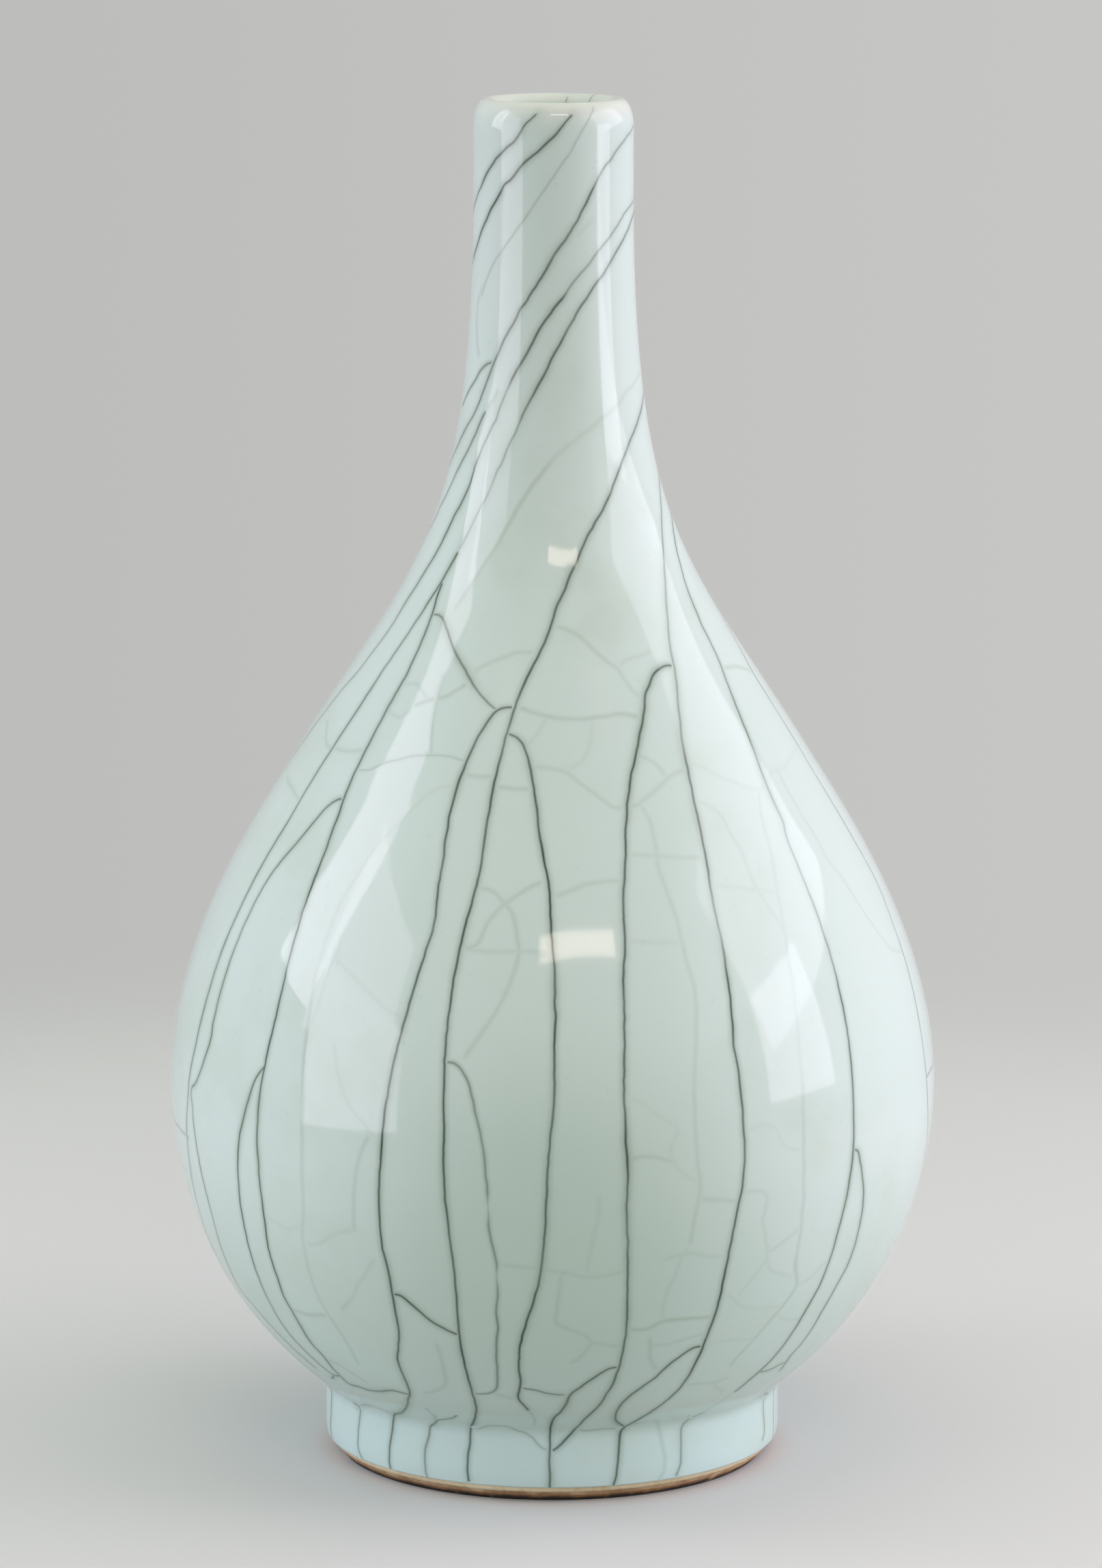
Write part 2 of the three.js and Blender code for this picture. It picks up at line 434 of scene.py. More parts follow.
stations = turning.node("GeometryNodeAttributeDomainSize", None, {"Geometry": given["Geometry"]})
grid = turning.node("GeometryNodeMeshGrid", None, {
    "Size X": 1, "Size Y": 1, "Vertices X": given["Turns"] + 1, "Vertices Y": stations})
flat = turning.split(turning.here())
row = (flat.of("Y") + 0.5) * (stations - 1)
row_index = turning.node("FunctionNodeFloatToInt", {"rounding_mode": "ROUND"}, {0: row})
profile = turning.split(turning.node("GeometryNodeSampleIndex", {"data_type": "FLOAT_VECTOR"}, {
    "Geometry": given["Geometry"], "Value": turning.here(), "Index": row_index}))
angle = flat.of("X") * (2 * math.pi)
bent = turning.joined(
    X=profile.of("X") * angle.sine(), Y=profile.of("X") * angle.cosine() * -1, Z=profile.of("Z"))
shell = turning.moved(grid, Position=bent)
shell = turning.node("GeometryNodeMergeByDistance", None, {
    "Geometry": shell, "Distance": weld_distance * MM})

around = turning.vector("ADD", turning.here(), turning.joined(Z=given["Seed"]))
swelling = turning.noise(around, 1 / given["Swell size"], 1) - 0.5
outwards = turning.scaled(turning.node("GeometryNodeInputNormal"), swelling * given["Swell"] * 2)
shell = turning.moved(shell, Offset=outwards)

crack_distance = turning.nearest("EDGES", turning.shape_of(given["Cracks"]), "Distance")
shell = turning.store(shell, "crack_distance", crack_distance)
shell = turning.node("GeometryNodeSetShadeSmooth", None, {"Geometry": shell})
end_tree(turning, shell, given["Finish"])
print("nodes that turn a skin:", len(turning.nodes.nodes))

# %% [markdown]
# ## The crackle
# Each crack is a list of points on the glaze: an angle round the vase in degrees, 0 at
# the front and growing to the right, and a height in millimetres. Heights above the ridge of the lip
# run down its inner side. The number before the points says how much ink the crack took, next to the
# others of its kind, and a third number in a point changes that from there on. The lists say what a
# person would draw, and everything else is worked out from them.

# %% Cracks that took the most ink
dark_cracks = [
    # from the shoulder down the left of the middle to the foot
    [1.05, (-10.4, 203), (-12, 203), (-15, 202), (-16.4, 200.4), (-18.6, 196), (-20.4, 190), (-21.4, 183),
     (-21.6, 177), (-21.2, 171), (-20.8, 161), (-20.5, 152.5, 0.85), (-21.3, 146), (-22.4, 136),
     (-23.6, 125, 0.9), (-24.6, 112), (-25.2, 99, 1.05), (-25.7, 87), (-26, 75), (-25.5, 66), (-25.8, 56),
     (-26.2, 50), (-27.3, 45.4), (-28.6, 41), (-29.1, 36), (-29.5, 32), (-30.1, 30), (-31.5, 27.8),
     (-33.5, 25, 0.9), (-36, 22.5), (-39, 20.8), (-41.8, 19.6), (-42.8, 18), (-43.6, 14), (-44.5, 10),
     (-44.7, 7), (-44.5, 4.4)],
    [1, (-25.6, 60.8), (-24.3, 60.7), (-23, 59), (-21.5, 56.8), (-20, 54.5), (-18, 52.3), (-15.4, 50.6)],
    # from the foot up the middle left, and round the neck to the back and the lip
    [1, (-21, 4.9), (-21.3, 8), (-21.1, 12), (-20.6, 15), (-20.3, 18), (-19.8, 19.5), (-18.9, 21),
     (-17.7, 23), (-16.5, 26), (-15.8, 29), (-15.6, 35), (-15.5, 45), (-15.2, 55), (-14.8, 65),
     (-15.1, 78), (-15.6, 90), (-15.7, 105), (-16, 120), (-16.1, 127), (-15.8, 140), (-15.2, 150),
     (-14.5, 157), (-13.7, 164), (-13.4, 175), (-13.2, 183), (-12.5, 190), (-11.5, 197),
     (-10.3, 202.7), (-9.5, 205.4), (-7.5, 210), (-6, 212.5), (-3.5, 216.7), (-1.5, 220), (0, 223.3),
     (1.5, 226.3), (4.5, 230), (6, 232.1), (10.5, 237.1), (13.5, 240), (16.5, 242.9), (20, 245.2),
     (24.5, 248.1), (29.5, 251.3), (35, 255.3), (40, 258.5), (44, 261, 0.75), (50, 264.2), (55, 266.3),
     (60, 268.1), (65, 270), (70, 271.7), (80, 274.6), (118, 284), (160, 294), (200, 302), (240, 311),
     (262, 317), (272, 320.2), (280, 322.8), (286, 324.8), (290, 326.2), (294, 327.5), (300, 330, 0.95),
     (305, 332.1), (310, 334), (315, 335.8), (320, 337.3), (325, 338.8), (330, 340.2), (335, 342.3),
     (339.5, 344.6), (344, 346.3), (348.5, 347.7)],
    [0.7, (-15, 202.1), (-19, 204.6), (-22.5, 207.1), (-26, 210), (-30, 212.9), (-33.5, 215.4), (-36, 217.5),
     (-39.5, 220), (-42, 221.7), (-43.5, 222.3), (-45.5, 222.7), (-48.2, 222.5)],
    # the loop inside the middle
    [1, (-11.5, 197.1), (-9.6, 196.5), (-8.2, 195.6), (-7.2, 194.6), (-6.4, 193), (-5.5, 190.4),
     (-4.1, 185), (-2.9, 176.7), (-2, 170.4), (-0.7, 163.3), (-0.3, 155), (0.2, 145.4), (0.4, 138),
     (0.3, 122), (0.2, 112), (-0.4, 103), (-0.8, 91), (-1.1, 80), (-1.6, 71), (-2.4, 64), (-3.9, 56),
     (-5.1, 50), (-5.7, 44), (-5.9, 36), (-6.5, 31), (-5.7, 29), (-5, 27)],
    [0.7, (-5.9, 35), (-3.6, 34.5), (-1.4, 33.5), (1.1, 32.9), (2.7, 32.9)],
    # right of the middle
    [1, (39, 211), (36.5, 211.3), (33.5, 210.8), (31, 209.6), (28.2, 207), (26.3, 205), (25.2, 202.5),
     (22.7, 197.5), (20, 192), (17.9, 187.3), (15.9, 181), (14.6, 174), (13.4, 166), (12.6, 160),
     (12, 150), (11.2, 140), (10.9, 129), (10.4, 115), (10.5, 105), (10.8, 95), (10.7, 85), (11.1, 77),
     (11.5, 65), (12, 54), (12, 45), (11.8, 41), (11.4, 36), (10.7, 33), (10, 30), (8.8, 27),
     (7.3, 24), (5.9, 21), (4.8, 19), (2.7, 16.5), (0.2, 14.2), (-0.4, 14)],
    [1, (11.8, 41.3), (10.2, 41), (8.9, 39.8), (7.1, 37.5), (5.4, 35.4), (3.6, 33), (2.9, 30), (2, 27),
     (0.5, 24.6), (-0.3, 21), (-0.5, 16), (-0.5, 11), (-0.4, 4.4)],
    # from the neck down the right
    [0.55, (280, 309.5), (240, 300.5), (200, 290.5), (160, 279), (120, 266), (90, 256), (80, 252.9),
     (78, 252.1), (73, 249.2), (68, 245.8), (63, 242.5), (59, 238.8), (56, 235.6), (53, 232.5),
     (49.5, 228.3), (46, 224.2), (43, 219.6), (41, 215.8), (39.5, 211.7), (38, 207.9, 0.6), (36.1, 203.3),
     (34.8, 200), (33.8, 196.7), (33, 193.8), (32.5, 190.4, 0.9), (31.8, 185), (31.3, 180.8), (30.6, 172.5),
     (29.8, 164.6), (29.2, 158, 0.65), (29.1, 150), (28.8, 140, 1), (28.3, 129.2), (28, 125.4), (28.4, 115),
     (28.5, 105), (28.7, 97), (28.5, 90.4), (28, 85), (27.4, 75.4), (27.1, 64.6, 1.1), (27.1, 57),
     (26.7, 46), (26.5, 40), (26.1, 35), (25.2, 31), (23.8, 28), (22.1, 25), (20.4, 23), (18.8, 21),
     (17.6, 19.7), (17, 18.5), (16.7, 15), (16.4, 11), (16.1, 8), (15.4, 4.4)],
    [1, (26.6, 45.5), (25.2, 45.6), (23.8, 44.6), (22.3, 42.5), (20.7, 40), (19.1, 36.7), (17.5, 34.6),
     (15.9, 32.3), (14.8, 30.2), (14, 27.5), (13.9, 25), (14.6, 22.9), (16.1, 21.3), (17.7, 20)],
]

# %% Cracks round the neck and the lip
dark_cracks += [
    [1, (-80, 309.5), (-75, 311.3), (-70, 313.3), (-65, 315.8), (-60, 318.3), (-55, 320.8), (-50, 323.3),
     (-45, 325.4), (-40, 327.9), (-37, 329.6), (-32, 330.8), (-26, 333.3), (-21, 335.2), (-16, 336.7),
     (-10, 338.5), (-5, 340.2), (0, 341.9), (5, 344), (10, 346), (14.5, 347.5)],
    [0.75, (208, 150), (210, 170), (214, 188), (220, 205), (228, 220), (240, 234), (255, 246), (270, 255),
     (281, 260.2), (285, 262.1), (290, 265), (295, 267.5), (299.5, 269.8), (303, 271.9), (306.5, 274.6),
     (309.5, 277.5), (312, 280), (314.5, 282.1), (317.5, 284.6), (320, 286.7), (324, 290, 0.88), (329, 293.3),
     (333, 295.8), (337, 298.8), (340, 300), (345, 302.9), (350, 305.8), (355, 308.8), (360, 312.1),
     (365, 314.6), (370, 316.7), (374, 319.2), (377, 320.8), (380, 322.9), (384, 325.4), (388, 328.1),
     (392, 330.2, 0.55), (396, 332.5), (400, 334.4), (405, 335.8), (410, 337.5), (415, 338.8), (421, 340),
     (427, 341.3), (434, 342.1), (440, 342.9), (460, 344.5), (480, 346), (494, 348), (499, 350),
     (500, 352), (501, 354.5)],
    [0.8, (-103, 232), (-97, 235), (-90, 238.5), (-84, 241.5), (-80, 244), (-78, 246.7), (-72, 251.3),
     (-69, 254.2), (-65, 257.5), (-61, 260.4), (-58, 262.5), (-54, 265.8), (-50, 269.6), (-48, 271.3),
     (-45.5, 272.9)],
    [0.7, (-96, 150), (-93, 165), (-89, 178), (-83.5, 190), (-78, 200.8), (-74.5, 205.4), (-72.2, 210.8),
     (-70.3, 215), (-69.2, 220), (-68.5, 223.8, 0.8), (-67, 227.5), (-65, 231.7), (-62, 236.7),
     (-59.5, 241.7, 0.9), (-57.5, 245.4), (-53.5, 250), (-51, 253.8), (-49.5, 256.7), (-48.5, 259.6),
     (-46.5, 262.1, 0.5), (-43.5, 265.4), (-40, 268.8), (-37.5, 270.6), (-36, 272.9), (-33.5, 275.4),
     (-30, 278.8), (-27, 281.3, 1), (-23, 284.2), (-19, 286.7), (-15, 289.6), (-10, 293.3), (-5, 296.3),
     (0.5, 299.2), (5, 301), (10, 303.3, 0.5), (14, 305.4), (19, 307.5), (24, 309.3), (30, 311.7),
     (34, 313.1), (40, 315), (45, 316.7), (50, 318.3), (57, 320.4), (63, 322.1), (70, 323.1),
     (80, 324.2), (110, 331), (135, 338), (152, 344), (160, 347), (164, 349), (166.5, 351.5),
     (168, 354.5)],
    [0.35, (-46.5, 238), (-45, 240.4), (-42, 245.4), (-39.5, 248.8), (-36.7, 251.7), (-35, 254.6),
     (-32.5, 257.9, 0.45), (-30.5, 260), (-27, 264.2), (-23.5, 267.5), (-21, 270), (-19.5, 271.7, 0.7),
     (-16, 275), (-10, 279.6, 1), (-5, 282.9), (0, 287.1), (5, 290.4), (10, 293.8, 0.75), (15, 297.1),
     (20, 299.8), (25, 302.3), (31, 305), (36, 306.7), (40, 308.3), (46, 310.6), (51, 312.7), (57, 314.6),
     (64, 316.7), (70, 318.3), (76, 320), (80, 320.8), (110, 326), (137, 338)],
]

# %% Cracks down the sides and on the foot wall
dark_cracks += [
    # the left side
    [0.95, (-50, 230.4), (-49.3, 226), (-48.2, 222.7), (-47.8, 218.3), (-47.5, 212.1), (-47.7, 206.7),
     (-48.7, 200), (-49, 195), (-49.6, 187), (-49.5, 180), (-48.9, 175.8), (-48.2, 168), (-47.9, 160),
     (-47.7, 150), (-47.3, 140), (-47, 135), (-47.1, 125), (-47.5, 116), (-48, 106), (-48.2, 95),
     (-48.2, 88), (-48.5, 75), (-49.2, 68), (-49.6, 58), (-49.9, 54), (-49.5, 47), (-49.4, 40),
     (-48.4, 36), (-48.6, 33), (-48.1, 30.5), (-47.7, 28.4), (-45, 28.2), (-41.4, 27.9), (-38, 28.5),
     (-34.5, 29.6), (-30.2, 29.5)],
    [0.85, (-47.4, 115.3), (-49.3, 110.8), (-50.4, 106), (-51.6, 100), (-52.8, 93), (-53.6, 85),
     (-54.3, 75), (-55, 65), (-55.7, 56), (-56.1, 48), (-56.1, 42), (-55, 37.5), (-53.6, 34.2),
     (-52.1, 31.3), (-51, 30.2), (-48.2, 30.5)],
    [0.8, (-51, 30.2), (-52.1, 29), (-54.3, 27.9)],
    [0.88, (-46.5, 237.9), (-48.5, 234.2), (-50.5, 230.4), (-52.8, 225.4), (-55, 220.4), (-56.5, 215.8),
     (-58.2, 210.8), (-59.3, 206.3), (-60.2, 201), (-62.3, 190), (-63.9, 180), (-64.6, 170),
     (-65.9, 160), (-66.8, 150), (-67.5, 138), (-67.7, 125), (-68.2, 114), (-69.2, 105),
     (-69.3, 102.5), (-70.5, 92.5), (-71.4, 82.5), (-72.7, 72.5), (-74.5, 60), (-76, 46), (-76, 34),
     (-74.5, 24), (-74.4, 17.5), (-76, 8), (-76, 4.4)],
    [0.85, (-49.6, 178.6), (-51.1, 178.1), (-52.5, 177), (-55, 172.5), (-57.3, 167), (-59.6, 162),
     (-61.6, 156), (-62.7, 147), (-63.2, 137), (-63.2, 122), (-63.1, 116), (-64.3, 110.4),
     (-65.4, 106.7), (-66.6, 104.2), (-68, 102.3), (-67.5, 98), (-66.6, 89), (-65.8, 79), (-65.6, 74),
     (-66.2, 66), (-67.5, 57), (-68.2, 48), (-66, 45.5), (-62.5, 39.6), (-58.6, 32.5), (-56.8, 30)],
    # the right side
    [0.72, (110, 251), (100, 248), (90, 245.5), (80, 242.5), (78, 241.7), (73, 238.8), (69, 235),
     (66.5, 231.7), (64.5, 228.8), (63, 224.2), (61.5, 220), (60.8, 215), (60, 210), (58.6, 206.7),
     (57.3, 202.5), (56.4, 199.6), (55.5, 195.4), (54.6, 190.4), (53.9, 186.7), (53.2, 181.7, 0.45),
     (52.8, 177.1), (52.7, 172.9), (51.8, 170), (51.4, 165), (51.3, 155), (51.1, 140, 0.6),
     (50.8, 131.3, 0.95), (50.4, 121.3), (49.9, 110), (49.6, 100), (49.5, 89.2), (49.2, 83.3), (48.6, 72.5),
     (48.3, 60), (47.9, 55.4), (47.3, 50.4), (46.9, 44.6), (46.4, 40.4), (45.7, 36.2), (44.8, 33.8),
     (43.6, 30.8), (42.5, 28.1), (41.8, 27)],
    [0.8, (49.6, 93.2), (50.7, 92.5), (51.4, 90), (52.4, 85.5), (53.6, 79), (54.1, 72), (54.4, 66),
     (54.1, 60), (53.3, 55), (52.8, 49), (52.9, 43), (52.7, 39), (52.1, 35.5), (52.6, 33), (53.4, 30.5)],
    [0.6, (44.7, 33.2), (46.5, 32.7), (48.5, 32.9), (50.5, 33.6), (52.4, 34)],
    # the foot wall
    [0.6, (-59, 18.9), (-57.5, 19), (-56.1, 18.3), (-56.3, 15.8), (-57.1, 11.7), (-57.4, 8.3), (-57, 6.2),
     (-55.7, 4.4)],
    [0.7, (-21.3, 24), (-23.2, 22.5), (-25.7, 21.5), (-27.9, 20.8), (-29.6, 19.4), (-31.1, 18.3), (-32, 15),
     (-32.9, 11.7), (-33.2, 8.8), (-33.1, 6.2), (-32.7, 4.4)],
    [0.6, (38.5, 21.5), (36.5, 20.6), (35, 19.6), (34, 18), (33.7, 15), (33.7, 11), (33.6, 8.5), (33, 6.5),
     (32.3, 4.4)],
    [0.6, (60, 22.3), (62.1, 21), (65, 20), (67.1, 19.3), (69.1, 18.8)],
    [0.6, (67.1, 19), (67.1, 16.3), (67.5, 12.9), (67.9, 10), (67.7, 7.9), (66.6, 6.9)],
]
print("dark cracks:", len(dark_cracks))

# %% Cracks that took less ink
middle_cracks = [
    # at the edges of the view
    [1, (125, 249), (108, 241), (96, 231), (88, 220), (83, 212), (79, 205), (78.5, 198), (78.3, 180),
     (78.5, 165), (79.3, 150), (78, 143), (77.3, 135), (76.3, 126), (75.3, 116), (75.3, 107),
     (76, 97.5), (77.5, 90), (80, 78), (83, 65), (85, 50), (85, 38), (82, 30), (78, 24), (76, 18),
     (76.5, 4.4)],
    [1.1, (-80, 272.3), (-74, 274.6), (-70, 276.3), (-65, 278.1), (-60, 280.2), (-55, 282.7), (-50, 284.1),
     (-45, 284.7), (-41.7, 285)],
    # across the front of the neck
    [0.45, (-60, 300.6), (-55, 305), (-48.8, 308.8), (-38.8, 313.1), (-30, 316.9), (-20, 321.6),
     (-10, 326.9), (-2.5, 330.6), (5, 334.4), (11.3, 337.5), (20, 343.1), (27.5, 346.9), (33.8, 349.4)],
    # on the belly
    [0.4, (-49, 185.4), (-45.7, 186), (-42.5, 187.5), (-40.4, 188.5), (-36, 190), (-31, 190.9),
     (-26, 191.2), (-20.5, 190.4)],
    [1.05, (-16, 121.7), (-14.6, 121.5), (-13.8, 120.8), (-12.9, 119), (-12.1, 116), (-11.1, 110),
     (-10.4, 106), (-9.7, 98.8), (-9.3, 90), (-9.2, 86.7, 0.4), (-9.2, 81.7, 1), (-8.6, 74.6), (-8.3, 71),
     (-8.4, 68, 0.5), (-8.3, 64, 1), (-8.7, 59), (-8.9, 52), (-9.4, 46.7), (-9.8, 40), (-10.1, 36.7),
     (-10.5, 34.6), (-11.6, 33.1), (-13.2, 32.5), (-15.6, 32.3)],
    [0.4, (-5, 27.4), (-4.2, 25.5), (-3.8, 23.5), (-4.2, 21.5)],
    # in the crease and on the foot wall
    [0.6, (-19.6, 19), (-17.9, 19.4), (-15.4, 20.6), (-12.9, 20.9), (-10.4, 20.8), (-8.6, 19.6),
     (-6.4, 18.8), (-4.6, 17.5), (-3.2, 15.6), (-1.8, 14.6), (-0.5, 14.2)],
    [0.6, (-27.9, 21), (-28.2, 22.5), (-28.8, 25.4)],
    [0.6, (-56.1, 18.4), (-53.6, 19.6), (-50, 20.6), (-47, 20.9), (-44.5, 20.2), (-42.4, 19)],
    [0.6, (5.9, 20.2), (7.9, 19.5), (10.7, 19.8), (15, 19.6), (17, 18.6)],
    [0.5, (17.7, 20), (19, 20.6), (21.4, 21), (23.9, 22)],
    [0.5, (34.9, 19.6), (34.6, 20.2), (33.5, 22)],
    [0.4, (41.8, 27.2), (38.6, 22.3), (35.5, 20.2)],
]

# %% Pale cracks of the neck and shoulder
pale_cracks = [
    [1, (-45.5, 272.9), (-40, 276.3), (-37, 278.8)],
    [0.9, (-38.8, 223.8), (-34.4, 230.6), (-31.3, 235), (-27.5, 239.4), (-22.5, 245, 1.2), (-17.5, 250),
     (-11.3, 255), (-5, 258.8), (1.3, 262.2, 0.8), (7.5, 264.4), (17.5, 267.5), (26.3, 270), (31.3, 271.3),
     (36.3, 272.2), (46.3, 274.7), (52.5, 276.9), (58.8, 278.1), (70, 279.9), (80, 281.5)],
    [0.6, (14.5, 316.8), (18, 317.6), (22, 318.7), (27, 320), (31, 321)],
    [1, (-55, 305), (-61, 302.1), (-65, 299), (-65.6, 296.9), (-64.4, 292.5), (-61.3, 287.5),
     (-58.1, 285.3)],
    [0.9, (0, 221.9), (5, 220.8), (9, 219.2), (12, 217.1), (14.5, 215), (17.5, 212.9), (20, 211.1),
     (21.5, 208.6), (23, 206.1), (25, 204.6)],
    [0.8, (20.5, 211.8), (22.5, 213.2), (26, 213.9), (30, 214.3), (33, 215)],
    [0.9, (-5.5, 215.8), (-12, 215.4), (-15, 214.4), (-18, 213.6), (-21.5, 212.1), (-24.5, 210.4)],
    [1.1, (-24.5, 208.2), (-28, 206), (-31, 204.4), (-34, 203.6), (-38.5, 202.1), (-40, 201.4)],
    [0.8, (-47.8, 205.5), (-45.5, 206), (-42, 206.4), (-40, 205.5), (-36, 203.3)],
    [1, (-34, 210), (-33.5, 204), (-32.5, 199), (-31.3, 195), (-29.5, 191)],
    [0.8, (-48.9, 199.5), (-46, 199), (-42.5, 198.8), (-40, 200.8)],
    [1.2, (-10.2, 203), (-8, 202.6), (-5, 201.8), (-1, 201), (4, 200.5), (9, 200.6), (14, 200.9),
     (18, 201.2), (22, 200.5), (23.8, 200.2)],
    [0.7, (-1.5, 200.9), (-3, 198.5), (-5, 195.9), (-6.5, 193.8)],
    [1, (-20.9, 187.5), (-17, 187), (-13, 187.2)],
    [1, (-13.2, 185), (-9, 184.8), (-4.3, 184.6)],
    [0.9, (-5, 189.6), (0, 189.3), (3, 188.4), (6, 185.9), (9, 183.6), (11.5, 181.4), (13.5, 180.1),
     (15.6, 180.2), (18.2, 180.6), (21.5, 182.9), (25, 185), (27.5, 186.6), (32, 187.6)],
    [0.6, (3.5, 189.5), (5.5, 190), (7.8, 192.3), (9.1, 195), (9.8, 198), (10, 200.5)],
    [0.8, (19.8, 192), (22.5, 190.8), (24.6, 189.2), (25.6, 187.3), (26.3, 186)],
    [0.5, (32, 189.5), (36, 187.8), (40, 185.3), (43.5, 183.3), (47, 181.4), (50, 180.8), (53, 181.5),
     (57, 183.9), (62, 183.8), (67, 185), (72, 186.2), (78, 187)],
    [0.6, (31.3, 181), (34, 179.2), (36.3, 177), (37.5, 172), (38.6, 167), (38.7, 162), (39.3, 158.5),
     (40.6, 154), (41.8, 150.5), (42, 147), (41.5, 143.5), (41.2, 139), (40.6, 133), (40, 126),
     (39.6, 118), (39.3, 110, 0.9), (39.1, 100), (39.2, 93.3), (39.8, 80), (40.2, 70), (40.5, 66, 1.1),
     (41.3, 62.5), (42.2, 59.2), (41.7, 57), (40.5, 53.5), (39.7, 51.5), (38.7, 49), (37.5, 46),
     (36.2, 42.5), (35.3, 40), (34.8, 37)],
    [0.6, (50, 180.8), (48.2, 177.5), (47.1, 174.6), (46.1, 169.2), (45, 164.2), (43.9, 160), (43.2, 155),
     (42, 148.6)],
    [0.7, (59.5, 183.8), (59.8, 175), (61, 167.5), (61.5, 161.7), (63.5, 156.7), (65.5, 149.2),
     (67.5, 144.2), (69.5, 140), (72, 136.7), (77, 135)],
    [1, (59.3, 208.5), (65, 208.3), (70, 207.6), (76, 206), (79, 205)],
    [1, (-75, 194), (-71.5, 192), (-68, 189.8), (-65, 188.6), (-58, 188.8), (-49.5, 189.9)],
    [1, (-80, 178.5), (-73, 177.5), (-68, 176.4), (-64.2, 175.5)],
]

